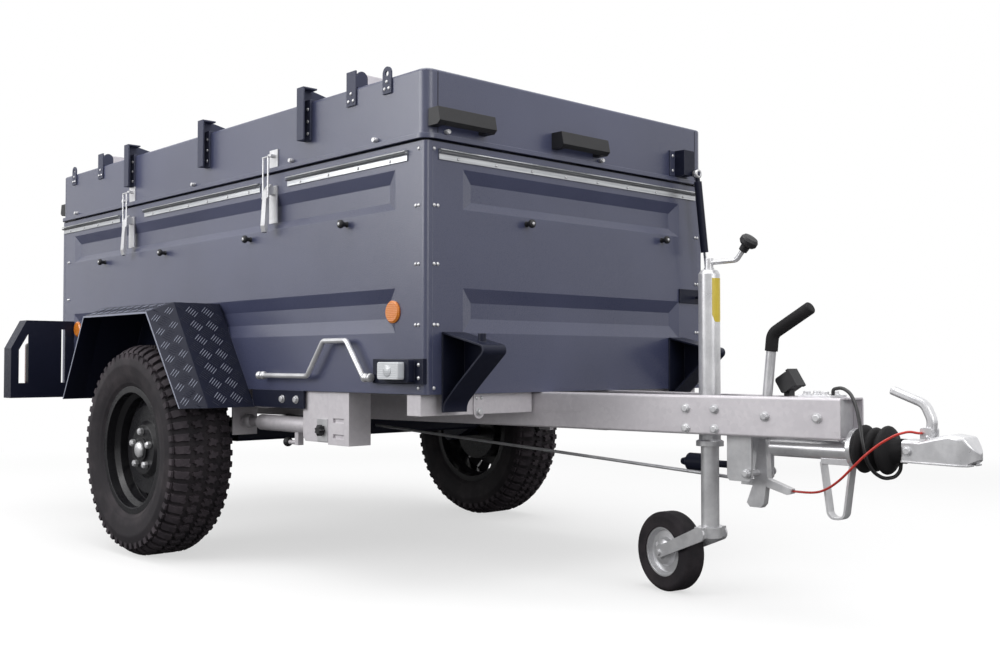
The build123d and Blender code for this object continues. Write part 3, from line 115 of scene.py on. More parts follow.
class Finish:  # one material and the nodes it is made of
    def __init__(self, name):
        self.material = bpy.data.materials.new(name)
        self.material.use_nodes = True
        self.tree = self.material.node_tree
        self.tree.nodes.clear()
        self.place = self.add("ShaderNodeTexCoord").outputs["Object"]

    def add(self, kind, settings=None, sockets=None):
        return addNode(self.tree, kind, settings, sockets)

    def stretched(self, x, y, z):
        return self.add("ShaderNodeMapping", None, {"Vector": self.place, "Scale": (x, y, z)}).outputs[0]

    def noise(self, scale, detail=3, roughness=0.5, vector=None):
        sockets = {"Vector": vector or self.place, "Scale": scale, "Detail": detail, "Roughness": roughness}
        return Value(self.tree, self.add("ShaderNodeTexNoise", None, sockets).outputs[0])

    def cells(self, scale, output="Distance"):
        made = self.add("ShaderNodeTexVoronoi", None, {"Vector": self.place, "Scale": scale})
        return Value(self.tree, made.outputs[output])

    def ramp(self, value, low, high, toLow=0, toHigh=1):
        sockets = {"Value": value, "From Min": low, "From Max": high, "To Min": toLow, "To Max": toHigh}
        made = self.add("ShaderNodeMapRange", {"interpolation_type": "SMOOTHSTEP", "clamp": True}, sockets)
        return Value(self.tree, made.outputs[0])

    def blend(self, amount, first, second):
        made = self.add("ShaderNodeMix", {"data_type": "RGBA"}, {0: amount, 6: first, 7: second})
        return made.outputs[2]

    def rounded(self, radius):  # normals as if the sharp edges were rounded off
        return self.add("ShaderNodeBevel", {"samples": 6}, {"Radius": radius}).outputs[0]

    # pale colour laid on sharp edges through this mask: partly edge wear, partly a painted highlight
    def wearAndHighlight(self, rounded):  # 1 on sharp edges, 0 on flats
        flat = self.add("ShaderNodeNewGeometry").outputs["True Normal"]
        dot = self.add("ShaderNodeVectorMath", {"operation": "DOT_PRODUCT"}, {0: rounded, 1: flat})
        return self.ramp(Value(self.tree, dot.outputs["Value"]), 0.995, 0.9)

    def bump(self, height, depth, normal=None):
        sockets = {"Height": height, "Distance": depth}
        if normal is not None:
            sockets["Normal"] = normal
        return self.add("ShaderNodeBump", None, sockets).outputs[0]

    def finish(self, **sockets):
        names = {"color": "Base Color", "rough": "Roughness", "metal": "Metallic", "coat": "Coat Weight",
                 "coatRough": "Coat Roughness", "specular": "Specular IOR Level", "normal": "Normal"}
        named = {names[key]: value for key, value in sockets.items()}
        shader = self.add("ShaderNodeBsdfPrincipled", None, named)
        self.add("ShaderNodeOutputMaterial", None, {0: shader.outputs[0]})
        return self.material


# Paint of the box and lid: satin slate with a fine powder grain
bodyPaint = {"base": (64, 68, 94), "pale": (73, 77, 104), "wornAndHighlight": (132, 136, 156), "rough": 0.31,
             "cloud": 1.7, "grain": 520, "peel": 210, "edge": 0.003, "coat": 0.45, "coatRough": 0.22}


def makeBodyPaint():
    look = Finish("bodyPaint")
    cloud = look.noise(bodyPaint["cloud"], 4)
    grain = look.noise(bodyPaint["grain"], 2)
    peel = look.noise(bodyPaint["peel"], 2)
    rounded = look.rounded(bodyPaint["edge"])
    color = look.blend(look.ramp(cloud, 0.35, 0.7), linear(*bodyPaint["base"]), linear(*bodyPaint["pale"]))
    # sharp edges paler: edge wear and painted highlight
    color = look.blend(look.wearAndHighlight(rounded) * 0.25, color, linear(*bodyPaint["wornAndHighlight"]))
    rough = bodyPaint["rough"] + (grain - 0.5) * 0.2 + (cloud - 0.5) * 0.12
    normal = look.bump(grain * 0.7 + peel * 0.3, 0.0008, rounded)
    coat, coatRough = bodyPaint["coat"], bodyPaint["coatRough"]
    return look.finish(color=color, rough=rough, coat=coat, coatRough=coatRough, normal=normal)


# Black powder coat of the mudguards, light guards and brackets
blackCoat = {"base": (22, 25, 42), "wornAndHighlight": (104, 107, 120), "rough": 0.36, "specular": 0.19,
             "cloud": 6, "grain": 900, "scuff": 60, "lift": 12, "edge": 0.0022}


def makeBlackCoat(name, base, wornAndHighlight):
    look = Finish(name)
    cloud = look.noise(blackCoat["cloud"], 4)
    grain = look.noise(blackCoat["grain"], 2)
    rounded = look.rounded(blackCoat["edge"])
    scuff = look.ramp(look.noise(blackCoat["scuff"], 5, 0.7), 0.45, 0.7)
    color = look.blend(cloud * 0.5, linear(*base), linear(*[part + blackCoat["lift"] for part in base]))
    # sharp edges paler: edge wear and painted highlight
    color = look.blend(look.wearAndHighlight(rounded) * (0.3 + 0.5 * scuff), color, linear(*wornAndHighlight))
    rough = blackCoat["rough"] + (grain - 0.5) * 0.22 + scuff * 0.08
    normal = look.bump(grain, 0.0003, rounded)
    return look.finish(color=color, rough=rough, specular=blackCoat["specular"], normal=normal)


# Hot-dip galvanising of the chassis: spangle in tone and gloss
galvanised = {"base": (220, 216, 220), "dark": (204, 200, 205), "streak": (168, 163, 166), "rough": 0.46,
              "spangle": 90, "cloud": 5, "run": 3, "edge": 0.0025, "metal": 0.3}


def makeGalvanised():
    look = Finish("galvanised")
    spangle = look.cells(galvanised["spangle"], "Color")
    cloud = look.noise(galvanised["cloud"], 5, 0.6)
    streak = look.noise(galvanised["run"], 4, 0.6, look.stretched(1, 1, 12))
    tone = look.ramp(spangle * 0.3 + cloud * 0.8, 0.25, 0.95)
    color = look.blend(tone, linear(*galvanised["dark"]), linear(*galvanised["base"]))
    color = look.blend(look.ramp(streak, 0.62, 0.8) * 0.25, color, linear(*galvanised["streak"]))
    rough = galvanised["rough"] + spangle * 0.06 + (cloud - 0.5) * 0.1
    normal = look.bump(cloud * 0.6 + spangle * 0.2, 0.0002, look.rounded(galvanised["edge"]))
    return look.finish(color=color, rough=rough, metal=galvanised["metal"], normal=normal)


# Bright zinc of the jockey, latches and coupling
zinc = {"base": (226, 226, 228), "dark": (200, 200, 203), "stain": (150, 147, 145), "rough": 0.27,
        "cloud": 14, "spots": 33, "fine": 260, "edge": 0.0015, "metal": 0.5}


def makeZinc():
    look = Finish("zinc")
    cloud = look.noise(zinc["cloud"], 5, 0.65)
    fine = look.noise(zinc["fine"], 3)
    color = look.blend(look.ramp(cloud, 0.3, 0.75), linear(*zinc["dark"]), linear(*zinc["base"]))
    spots = look.ramp(look.noise(zinc["spots"], 4), 0.66, 0.8)
    color = look.blend(spots * 0.2, color, linear(*zinc["stain"]))
    rough = zinc["rough"] + (cloud - 0.5) * 0.12 + fine * 0.06
    normal = look.bump(fine, 0.00003, look.rounded(zinc["edge"]))
    return look.finish(color=color, rough=rough, metal=zinc["metal"], normal=normal)


# Bare extruded rails
railMetal = {"base": (206, 208, 210), "dark": (172, 174, 178), "rough": 0.3,
             "draw": 260, "cloud": 9, "metal": 0.9}


def makeRailMetal():
    look = Finish("railMetal")
    draw = look.noise(railMetal["draw"], 3, 0.6, look.stretched(0.02, 0.02, 1))
    cloud = look.noise(railMetal["cloud"], 3)
    color = look.blend(look.ramp(draw, 0.3, 0.7), linear(*railMetal["dark"]), linear(*railMetal["base"]))
    rough = railMetal["rough"] + (cloud - 0.5) * 0.15 + draw * 0.1
    return look.finish(color=color, rough=rough, metal=railMetal["metal"], normal=look.bump(draw, 0.0002))


# Black rubber of tyres, bellows and grip
rubber = {"rough": 0.72, "specular": 0.25, "cloud": 9, "edge": 0.002}


def makeRubber(name, base, dust, grain):
    look = Finish(name)
    cloud = look.noise(rubber["cloud"], 5, 0.6)
    fine = look.noise(grain, 3)
    color = look.blend(look.ramp(cloud, 0.4, 0.75) * 0.6, linear(*base), linear(*dust))
    rough = rubber["rough"] + (fine - 0.5) * 0.2
    normal = look.bump(fine, 0.0004, look.rounded(rubber["edge"]))
    return look.finish(color=color, rough=rough, specular=rubber["specular"], normal=normal)


# Wheel paint
rimPaint = {"base": (26, 26, 29), "pale": (44, 43, 46), "wornAndHighlight": (92, 92, 96), "rough": 0.28, "specular": 0.3,
            "cloud": 11, "grain": 700, "edge": 0.0025, "coat": 0.14, "coatRough": 0.14}


def makeRimPaint():
    look = Finish("rimPaint")
    cloud = look.noise(rimPaint["cloud"], 4)
    grain = look.noise(rimPaint["grain"], 2)
    rounded = look.rounded(rimPaint["edge"])
    color = look.blend(cloud * 0.6, linear(*rimPaint["base"]), linear(*rimPaint["pale"]))
    # sharp edges paler: edge wear and painted highlight
    color = look.blend(look.wearAndHighlight(rounded) * 0.35, color, linear(*rimPaint["wornAndHighlight"]))
    rough = rimPaint["rough"] + (grain - 0.5) * 0.12 + (cloud - 0.5) * 0.12
    gloss = {key: rimPaint[key] for key in ("specular", "coat", "coatRough")}
    return look.finish(color=color, rough=rough, normal=look.bump(grain, 0.00015, rounded), **gloss)


# Moulded black plastic of knobs and handles
blackPlastic = {"base": (24, 24, 27), "pale": (38, 38, 42), "rough": 0.45,
                "grain": 900, "cloud": 20, "edge": 0.002}


def makeBlackPlastic():
    look = Finish("blackPlastic")
    grain = look.cells(blackPlastic["grain"])
    cloud = look.noise(blackPlastic["cloud"], 3)
    color = look.blend(cloud * 0.5, linear(*blackPlastic["base"]), linear(*blackPlastic["pale"]))
    normal = look.bump(grain, 0.0002, look.rounded(blackPlastic["edge"]))
    return look.finish(color=color, rough=blackPlastic["rough"] + grain * 0.2, normal=normal)


# Moulded lenses: prism rows inside a glossy face
lens = {"prism": 60, "depth": 0.0006, "haze": 50, "rough": 0.12, "coat": 0.6}


def makeLens(name, base, deep):
    look = Finish(name)

    def rows(direction):
        settings = {"bands_direction": direction, "wave_profile": "TRI"}
        sockets = {"Vector": look.place, "Scale": lens["prism"], "Distortion": 0}
        return Value(look.tree, look.add("ShaderNodeTexWave", settings, sockets).outputs["Fac"])

    facets = rows("Z") * rows("X")
    color = look.blend(look.ramp(facets, 0, 1), linear(*deep), linear(*base))
    rough = lens["rough"] + look.noise(lens["haze"]) * 0.08
    return look.finish(color=color, rough=rough, coat=lens["coat"], normal=look.bump(facets, lens["depth"]))


# Sheaths of the lead and the breakaway cable
sheath = {"rough": 0.35, "cloud": 45, "fine": 500}


def makeSheath(name, base, pale):
    look = Finish(name)
    cloud = look.noise(sheath["cloud"], 3)
    color = look.blend(cloud, linear(*base), linear(*pale))
    rough = sheath["rough"] + (look.noise(sheath["fine"]) - 0.5) * 0.2
    return look.finish(color=color, rough=rough, normal=look.bump(cloud, 0.0003))


# Hard chrome of the gas spring rods
chrome = {"base": (200, 202, 205), "pale": (228, 229, 231), "rough": 0.05, "haze": 120}


def makeChrome():
    look = Finish("chrome")
    haze = look.noise(chrome["haze"], 3)
    color = look.blend(haze, linear(*chrome["base"]), linear(*chrome["pale"]))
    return look.finish(color=color, rough=chrome["rough"] + haze * 0.1, metal=1.0)


# Plain yellow label
yellowFoil = {"base": (206, 180, 44), "pale": (222, 200, 74), "rough": 0.4, "cloud": 60, "fine": 300}


def makeLabel():
    look = Finish("label")
    cloud = look.noise(yellowFoil["cloud"], 3)
    color = look.blend(cloud, linear(*yellowFoil["base"]), linear(*yellowFoil["pale"]))
    rough = yellowFoil["rough"] + (look.noise(yellowFoil["fine"]) - 0.5) * 0.2
    return look.finish(color=color, rough=rough, normal=look.bump(cloud, 0.0002))


# Grey sheet of the load floor
floorSheet = {"base": (92, 92, 95), "pale": (118, 118, 120), "rough": 0.55, "cloud": 4, "grain": 300}


def makeFloorSheet():
    look = Finish("floorSheet")
    cloud = look.noise(floorSheet["cloud"], 5, 0.6)
    grain = look.noise(floorSheet["grain"], 3)
    color = look.blend(look.ramp(cloud, 0.3, 0.75), linear(*floorSheet["base"]), linear(*floorSheet["pale"]))
    rough = floorSheet["rough"] + (grain - 0.5) * 0.2
    return look.finish(color=color, rough=rough, normal=look.bump(grain, 0.0003))


finishes = {
    "body_paint": makeBodyPaint(),
    "black_coat": makeBlackCoat("blackCoat", blackCoat["base"], blackCoat["wornAndHighlight"]),
    "dark_bracket": makeBlackCoat("darkBracket", (62, 65, 84), (128, 131, 146)),
    # pale copy of the black coat: painted highlight for the chequer bars that face the light and for the
    # mudguards' lip edge
    "chequer": makeBlackCoat("chequerCoat", (140, 144, 160), (186, 190, 202)),
    "label": makeLabel(),
    "galvanised": makeGalvanised(),
    "zinc": makeZinc(),
    "floor_sheet": makeFloorSheet(),
    "rail": makeRailMetal(),
    "tyre": makeRubber("tyreRubber", (36, 33, 37), (68, 62, 65), 420),
    # lighter copy of the tyre rubber: painted light on the tread blocks, so the groove floor on the carcass
    # reads as shade
    "tread": makeRubber("treadRubber", (52, 47, 52), (86, 78, 83), 420),
    "rim": makeRimPaint(),
    "rubber": makeRubber("softRubber", (26, 25, 27), (44, 42, 44), 300),
    "black_plastic": makeBlackPlastic(),
    "amber_lens": makeLens("amberLens", (238, 160, 70), (214, 116, 24)),
    "clear_lens": makeLens("clearLens", (238, 240, 242), (198, 201, 206)),
    "red_lens": makeLens("redLens", (176, 26, 24), (112, 10, 12)),
    "cable_black": makeSheath("blackSheath", (20, 20, 22), (38, 37, 39)),
    "cable_red": makeSheath("redSheath", (176, 40, 34), (206, 62, 50)),
    "rod_chrome": makeChrome(),
}
for part in frame["record"]["subparts"]:
    solid = nodes[part["node"]]
    solid.data.materials.clear()
    solid.data.materials.append(finishes[part["material_slot"]])
print("finishes set:", len(finishes))


# Shapes that the scene's own pieces are made of
def meshFrom(name, points, faces, smooth=False):
    mesh = bpy.data.meshes.new(name)
    mesh.from_pydata(points, [], faces)
    mesh.polygons.foreach_set("use_smooth", [smooth] * len(mesh.polygons))
    return mesh


def walls(count, start=0):  # faces between one ring of points and the next
    faces = []
    for step in range(count):
        here, after = start + step, start + (step + 1) % count
        faces.append((here, after, after + count, here + count))
    return faces


def prism(name, outline, depths, alongX=False):  # an outline swept along Z or X between two depths
    count = len(outline)
    if alongX:
        points = [(depth, y, z) for depth in depths for y, z in outline]
    else:
        points = [(x, y, depth) for depth in depths for x, y in outline]
    faces = [tuple(range(count, 2 * count)), tuple(range(count))[::-1]]
    return meshFrom(name, points, faces + walls(count))


def lathe(name, outline, facets, closed=False, smooth=True):  # outline of radius and height, turned about Z
    points, faces, rings = [], [], []
    for radius, height in outline:
        ring = []
        for step in range(facets if radius > 0 else 1):
            angle = tau * step / facets
            ring.append(len(points))
            points.append((radius * cos(angle), radius * sin(angle), height))
        rings.append(ring)
    pairs = list(zip(rings, rings[1:])) + ([(rings[-1], rings[0])] if closed else [])
    for low, high in pairs:
        for step in range(facets):
            after = (step + 1) % facets
            corners = [low[step % len(low)], low[after % len(low)]]
            corners += [high[after % len(high)], high[step % len(high)]]
            faces.append(list(dict.fromkeys(corners)))
    return meshFrom(name, points, faces, smooth)


def groupTree(name, sizes):  # an empty node group with named number inputs
    tree = bpy.data.node_groups.new(name, "GeometryNodeTree")
    tree.interface.new_socket("Geometry", in_out="INPUT", socket_type="NodeSocketGeometry")
    for key, value in sizes.items():
        kind = "NodeSocketInt" if isinstance(value, int) else "NodeSocketFloat"
        tree.interface.new_socket(key, in_out="INPUT", socket_type=kind)
    tree.interface.new_socket("Geometry", in_out="OUTPUT", socket_type="NodeSocketGeometry")
    return tree


def endTree(tree, instances, material):
    real = addNode(tree, "GeometryNodeRealizeInstances", None, {0: instances})
    sockets = {"Geometry": real.outputs[0], "Material": material}
    coloured = addNode(tree, "GeometryNodeSetMaterial", None, sockets)
    addNode(tree, "NodeGroupOutput", None, {0: coloured.outputs[0]})


def evaluated(name, tree, mesh, sizes):  # runs the tree once and keeps its result as a plain mesh
    carrier = bpy.data.objects.new(name, mesh)
    bpy.context.scene.collection.objects.link(carrier)
    modifier = carrier.modifiers.new("repeat", "NODES")
    modifier.node_group = tree
    for item in tree.interface.items_tree:
        if item.item_type == "SOCKET" and item.in_out == "INPUT" and item.name in sizes:
            modifier[item.identifier] = sizes[item.name]
    depsgraph = bpy.context.evaluated_depsgraph_get()
    result = bpy.data.meshes.new_from_object(carrier.evaluated_get(depsgraph))
    carrier.modifiers.remove(modifier)
    carrier.data = result
    return carrier


def shapeSource(tree, mesh):  # the shape that a tree repeats, on an object that isn't in the scene
    thing = bpy.data.objects.new(mesh.name, mesh)
    return addNode(tree, "GeometryNodeObjectInfo", None, {"Object": thing}).outputs["Geometry"]


def ringOf(name, mesh, material, count, phase=0.0):  # copies of a shape turned about Z
    sizes = {"Count": count, "Step": tau / count, "Phase": phase}
    tree = groupTree(name, sizes)
    given = addNode(tree, "NodeGroupInput")
    spots = addNode(tree, "GeometryNodePoints", None, {"Count": given.outputs["Count"]})
    index = Value(tree, addNode(tree, "GeometryNodeInputIndex").outputs[0])
    angle = index * Value(tree, given.outputs["Step"]) + Value(tree, given.outputs["Phase"])
    turn = addNode(tree, "FunctionNodeAxisAngleToRotation", None, {"Axis": (0, 0, 1), "Angle": angle})
    sockets = {"Points": spots.outputs[0], "Instance": shapeSource(tree, mesh), "Rotation": turn.outputs[0]}
    copies = addNode(tree, "GeometryNodeInstanceOnPoints", None, sockets)
    endTree(tree, copies.outputs[0], material)
    return evaluated(name, tree, bpy.data.meshes.new(name), sizes)


def scatter(name, mesh, material, places):  # copies of a shape at places that each face some way, with a turn
    cloud = bpy.data.meshes.new(name)
    cloud.from_pydata([place for place, facing, turn in places], [], [])
    ways = cloud.attributes.new("facing", "FLOAT_VECTOR", "POINT")
    ways.data.foreach_set("vector", [part for place, facing, turn in places for part in facing])
    turns = cloud.attributes.new("turn", "FLOAT", "POINT")
    turns.data.foreach_set("value", [turn for place, facing, turn in places])
    sizes = {"Size": 1.0}
    tree = groupTree(name, sizes)
    given = addNode(tree, "NodeGroupInput")
    named = "GeometryNodeInputNamedAttribute"
    facing = addNode(tree, named, {"data_type": "FLOAT_VECTOR"}, {"Name": "facing"})
    turning = addNode(tree, named, {"data_type": "FLOAT"}, {"Name": "turn"})
    aimed = addNode(tree, "FunctionNodeAlignRotationToVector", {"axis": "Z"}, {"Vector": facing.outputs[0]})
    sockets = {"Axis": (0, 0, 1), "Angle": turning.outputs[0]}
    own = addNode(tree, "FunctionNodeAxisAngleToRotation", None, sockets)
    sockets = {0: aimed.outputs[0], 1: own.outputs[0]}
    turned = addNode(tree, "FunctionNodeRotateRotation", {"rotation_space": "LOCAL"}, sockets)
    sockets = {"Points": given.outputs["Geometry"], "Instance": shapeSource(tree, mesh),
               "Rotation": turned.outputs[0], "Scale": given.outputs["Size"]}
    copies = addNode(tree, "GeometryNodeInstanceOnPoints", None, sockets)
    endTree(tree, copies.outputs[0], material)
    return evaluated(name, tree, cloud, sizes)


def settle(piece, body, matrix=None, material=None):  # a finished piece, its object left at the origin
    if matrix is not None:
        piece.data.transform(matrix)
    if material is not None:
        piece.data.materials.append(material)
    if piece.name not in bpy.context.scene.collection.objects:
        bpy.context.scene.collection.objects.link(piece)
    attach(piece, body)
    return piece


def shaped(name, mesh, body, slot, matrix=None):
    return settle(bpy.data.objects.new(name, mesh), body, matrix, finishes[slot])


def facingOut(x, out, z, side):  # turns a shape drawn along Z to look out from one side of the trailer
    return Matrix.Translation((x, side * out, z)) @ Matrix.Rotation(radians(-90 * side), 4, "X")


def facingAhead(x, y, z, turn=90):  # turns a shape drawn along Z to lie along the trailer
    return Matrix.Translation((x, y, z)) @ Matrix.Rotation(radians(turn), 4, "Y")


# Road tyres: turned carcass with ribs, and a ring of all-terrain tread blocks in a lighter copy of the
# rubber, painted light on the blocks against the darker groove floor
tyre = {"radius": 0.36, "axleBack": 1.292, "out": 0.775, "facets": 120, "pitches": 54, "drawnFor": 34,
        "groove": 0.0105, "foot": 0.004, "footDraft": 0.94, "topDraft": 0.8}
crown = {"flatHalf": 57.5, "lean": 0.00016, "curve": 0.0000105}  # fall of the tread towards its shoulders
treadBlocks = (  # outlines of one pitch: place along the tread and across it, in millimetres
    ((-26, -9), (-12, -3), (2, -13), (20, -7), (27, -20), (14, -30), (16, -43), (-4, -47), (-12, -36),
     (-29, -38), (-20, -22)),
    ((5, 9), (19, 3), (33, 13), (51, 7), (58, 20), (45, 30), (47, 43), (27, 47), (19, 36), (2, 38), (11, 22)),
    ((-27, -56), (-8, -50), (4, -58), (24, -54), (22, -80), (25, -101), (-10, -103), (-26, -98), (-22, -76)),
    ((4, 56), (23, 50), (35, 58), (55, 54), (53, 80), (56, 101), (21, 103), (5, 98), (9, 76)),
)
sideLug = {"half": 22, "taper": 4, "inner": 0.303, "outer": 0.333, "footOut": 101, "topOut": 108.6,
           "draft": 3, "lift": 0.002, "shift": 31}
treadWidths = (-98, -84, -70, -57, -28, 0, 28, 57, 70, 84, 98)
flankOutline = [(0.219, 0.092), (0.227, 0.0965), (0.231, 0.1005), (0.236, 0.1005), (0.241, 0.1035),
                (0.262, 0.1085), (0.285, 0.1115), (0.289, 0.1124), (0.294, 0.1124), (0.298, 0.1115),
                (0.312, 0.109), (0.329, 0.1035)]  # radius, and distance from the tyre's middle
beadOutline = [(0.2035, 0.086), (0.2035, -0.086)]


def treadTop(across):
    lean = max(0, abs(across) - crown["flatHalf"])
    return tyre["radius"] - crown["lean"] * lean - crown["curve"] * lean * lean


def treadPitch():
    points, faces = [], []

    def wrap(travel, across, radius):
        angle = travel / 1000 / tyre["radius"] * tyre["drawnFor"] / tyre["pitches"]
        points.append((radius * cos(angle), radius * sin(angle), across / 1000))

    def close(first, count, flip):
        top = tuple(range(first + count, first + 2 * count))
        for face in walls(count, first) + [top]:
            faces.append(face[::-1] if flip else face)

    for outline in treadBlocks:
        first = len(points)
        pairs = zip(outline, outline[1:] + outline[:1])
        area = sum(here[0] * after[1] - after[0] * here[1] for here, after in pairs)
        middle = [sum(corner[axis] for corner in outline) / len(outline) for axis in (0, 1)]
        for depth, draft in ((tyre["groove"] + tyre["foot"], tyre["footDraft"]), (0, tyre["topDraft"])):
            for travel, across in outline:
                across = middle[1] + (across - middle[1]) * draft
                wrap(middle[0] + (travel - middle[0]) * draft, across, treadTop(across) - depth)
        close(first, len(outline), area < 0)
    levels = ((sideLug["footOut"], 0, 0), (sideLug["topOut"], sideLug["draft"], sideLug["lift"]))
    for side in (-1, 1):
        first = len(points)
        shift = sideLug["shift"] if side > 0 else 0
        for out, draft, lift in levels:
            inner, outer = sideLug["inner"] + lift, sideLug["outer"]
            wide = sideLug["half"] - draft
            narrow = wide - sideLug["taper"]
            for travel, radius in ((-wide, inner), (wide, inner), (narrow, outer), (-narrow, outer)):
                wrap(travel + shift, side * out, radius)
        close(first, 4, side > 0)
    return meshFrom("treadPitch", points, faces)


def carcass():
    tread = [(treadTop(across) - tyre["groove"], across / 1000) for across in treadWidths]
    left = [(radius, -across) for radius, across in flankOutline]
    outline = left + tread + flankOutline[::-1] + beadOutline
    return lathe("carcass", outline, tyre["facets"], closed=True)


def wheelHub(side):
    return facingOut(boxFront - tyre["axleBack"], tyre["out"], tyre["radius"], side)


for word, side in bothSides:
    body = shaped(f"tyreCarcass_{word}", carcass(), f"wheel_{word}", "tyre", wheelHub(side))
    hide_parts(f"tyre_{word}")
    tread = ringOf(f"tyreTread_{word}", treadPitch(), finishes["tread"], tyre["pitches"])
    settle(tread, f"wheel_{word}", wheelHub(side))
print("tyres made")

# Wheel fittings: cone nuts round the hub, a turned cap in its middle
wheelNuts = {"count": 5, "ring": 0.062, "seat": 0.0495, "phase": 0.3}
nutOutline = [(0, 0), (0.0105, 0), (0.0125, 0.002), (0.0125, 0.013), (0.0095, 0.018), (0, 0.019)]
nutShape = lathe("nutShape", nutOutline, 6, smooth=False)
nutShape.transform(Matrix.Translation((wheelNuts["ring"], 0, wheelNuts["seat"])))
capOutline = [(0, 0.057), (0.026, 0.057), (0.0275, 0.06), (0.0265, 0.066), (0.022, 0.07), (0.012, 0.0725),
              (0, 0.073)]
for word, side in bothSides:
    nuts = ringOf(f"wheelNuts_{word}", nutShape, finishes["zinc"], wheelNuts["count"], wheelNuts["phase"])
    settle(nuts, f"wheel_{word}", wheelHub(side))
    shaped(f"hubCap_{word}", lathe("hubCap", capOutline, 36), f"wheel_{word}", "zinc", wheelHub(side))

# Small fasteners: dome rivets, screws with a round socket, and bolt heads on washers
rivetOutline = [(0, 0), (0.0055, 0), (0.0055, 0.0012), (0.0042, 0.0026), (0.002, 0.0034), (0, 0.0036)]
boltOutline = [(0, 0), (0.013, 0), (0.013, 0.0022), (0.0095, 0.0022), (0.0095, 0.0085), (0.0075, 0.0098),
               (0, 0.0098)]
screwOutline = [(0, 0), (0.0045, 0), (0.0045, 0.001), (0.003, 0.0024), (0.0012, 0.0026), (0.001, 0.0014),
                (0, 0.0014)]
rivetShape = lathe("rivetShape", rivetOutline, 10)
boltShape = lathe("boltShape", boltOutline, 12, smooth=False)
screwShape = lathe("screwShape", screwOutline, 10)
cornerRivets = {"heights": (1.25, 1.093, 0.931, 0.763, 0.589), "near": 0.030, "far": 0.043, "rearPost": 0.035}
lampRivets = {"back": 0.012, "out": 0.014, "heights": (0.617, 0.653)}
couplingRivets = {"ahead": 0.204, "out": 0.02, "z": 0.483}
tie = {"x": 0.6467, "across": 0.405, "half": 0.02, "top": 0.5705, "foot": 0.518, "sheet": 0.004, "steps": 12,
       "rivetZ": 0.558, "rivetHalf": 0.009}
tieFace = tie["x"] + tie["sheet"]

boxRivets = []
for side in (-1, 1):
    for z in cornerRivets["heights"]:
        insets = [cornerRivets["near"], cornerRivets["far"]]
        if z in (cornerRivets["heights"][0], cornerRivets["heights"][-1]):
            insets = insets[:1]  # one rivet at the top and the bottom of a row
        for inset in insets:
            boxRivets.append(((boxFront - inset, side * half, z), (0, side, 0), 0))
            boxRivets.append(((boxRear + cornerRivets["rearPost"] + inset, side * half, z), (0, side, 0), 0))
            boxRivets.append(((boxFront, side * (half - inset), z), (1, 0, 0), 0))
for side in (-1, 1):
    for z in lampRivets["heights"]:
        place = (boxFront - lampRivets["back"], side * (half + lampRivets["out"]), z)
        boxRivets.append((place, (0, side, 0), 0))
    for shift in (-tie["rivetHalf"], tie["rivetHalf"]):
        boxRivets.append(((tieFace, side * tie["across"] + shift, tie["rivetZ"]), (1, 0, 0), 0))
for side in (-1, 1):
    place = (noseX + couplingRivets["ahead"], side * couplingRivets["out"], couplingRivets["z"])
    boxRivets.append((place, (0, side, 0), 0))
settle(scatter("boxRivets", rivetShape, finishes["zinc"], boxRivets), "chassis")

railScrews = {"z": 1.229, "out": 0.004, "pitch": 0.14, "endHalf": 0.51, "endCount": 8,
              "spans": ((0.9913, 0.7659), (0.6794, 0.3413), (0.275, 0.031))}  # shares of the box's length
screws = []
for side in (-1, 1):
    for rear, front in railScrews["spans"]:
        length = (rear - front) * boxLength
        count = max(2, round(length / railScrews["pitch"]))
        for step in range(count):
            x = along(rear) + length * (step + 0.5) / count
            screws.append(((x, side * (half + railScrews["out"]), railScrews["z"]), (0, side, 0), 0))
for word, end, facing in bothEnds:
    for step in range(railScrews["endCount"]):
        y = railScrews["endHalf"] * (2 * step / (railScrews["endCount"] - 1) - 1)
        screws.append(((end + facing * railScrews["out"], y, railScrews["z"]), (facing, 0, 0), 0))
settle(scatter("railScrews", screwShape, finishes["zinc"], screws), "chassis")

lidRows = {  # shares of the box's length, then each rivet's shift along it and height
    "brackets": ((0.2302, 0.4841, 0.7222), ((0.006, 1.372), (0.006, 1.41), (0.006, 1.448))),
    "legEars": ((0.1369, 0.8413), ((-0.012, 1.434), (0.012, 1.434), (0, 1.456))),
    "eyeTabs": ((0.0675, 0.9484), ((-0.01, 1.44), (0.01, 1.44), (0, 1.46))),
}
lidRivetOut = 0.005
gasY = 0.516  # both gas springs' upper studs
gasRivets = {"out": 0.006, "in": 0.064, "heights": (1.312, 1.362)}
lidRivets = []
for shares, rivets in lidRows.values():
    for share in shares:
        for shift, z in rivets:
            lidRivets.append(((along(share) + shift, -half - lidRivetOut, z), (0, -1, 0), 0))
for word, end, facing in bothEnds:
    for z in gasRivets["heights"]:
        lidRivets.append(((end + facing * gasRivets["out"], gasY - gasRivets["in"], z), (facing, 0, 0), 0))
settle(scatter("lidRivets", rivetShape, finishes["zinc"], lidRivets), "lid")

beam = {"slope": 0.13, "noseHalf": 0.057, "turn": 0.2}
beamBolts = ((0.43, 0.535), (0.43, 0.482), (0.344, 0.535), (0.344, 0.482), (0.06, 0.52), (0.2, 0.52))
nosePlate = {"backs": (0.112, 0.06), "half": 0.024, "z": 0.577, "turn": 0.3}
sideBolts = (  # place along the trailer, distance out, height and turn of the head
    (noseX - 0.273, 0.06, 0.366, 0.1),  # brake bracket
    (boxFront - 0.72, half, 0.543, 0.2),  # mudguard
    (boxFront - 0.64, half, 0.543, 0.2),
    (noseX + 0.158, 0.026, 0.449, 0.1),  # coupling neck
)


def beamSpot(back, z, side):  # on the outer face of a drawbar beam, back from the nose
    size = (1 + beam["slope"] ** 2) ** 0.5
    y = beam["noseHalf"] + beam["slope"] * back
    return ((noseX - back, side * y, z), (beam["slope"] / size, side / size, 0), beam["turn"])


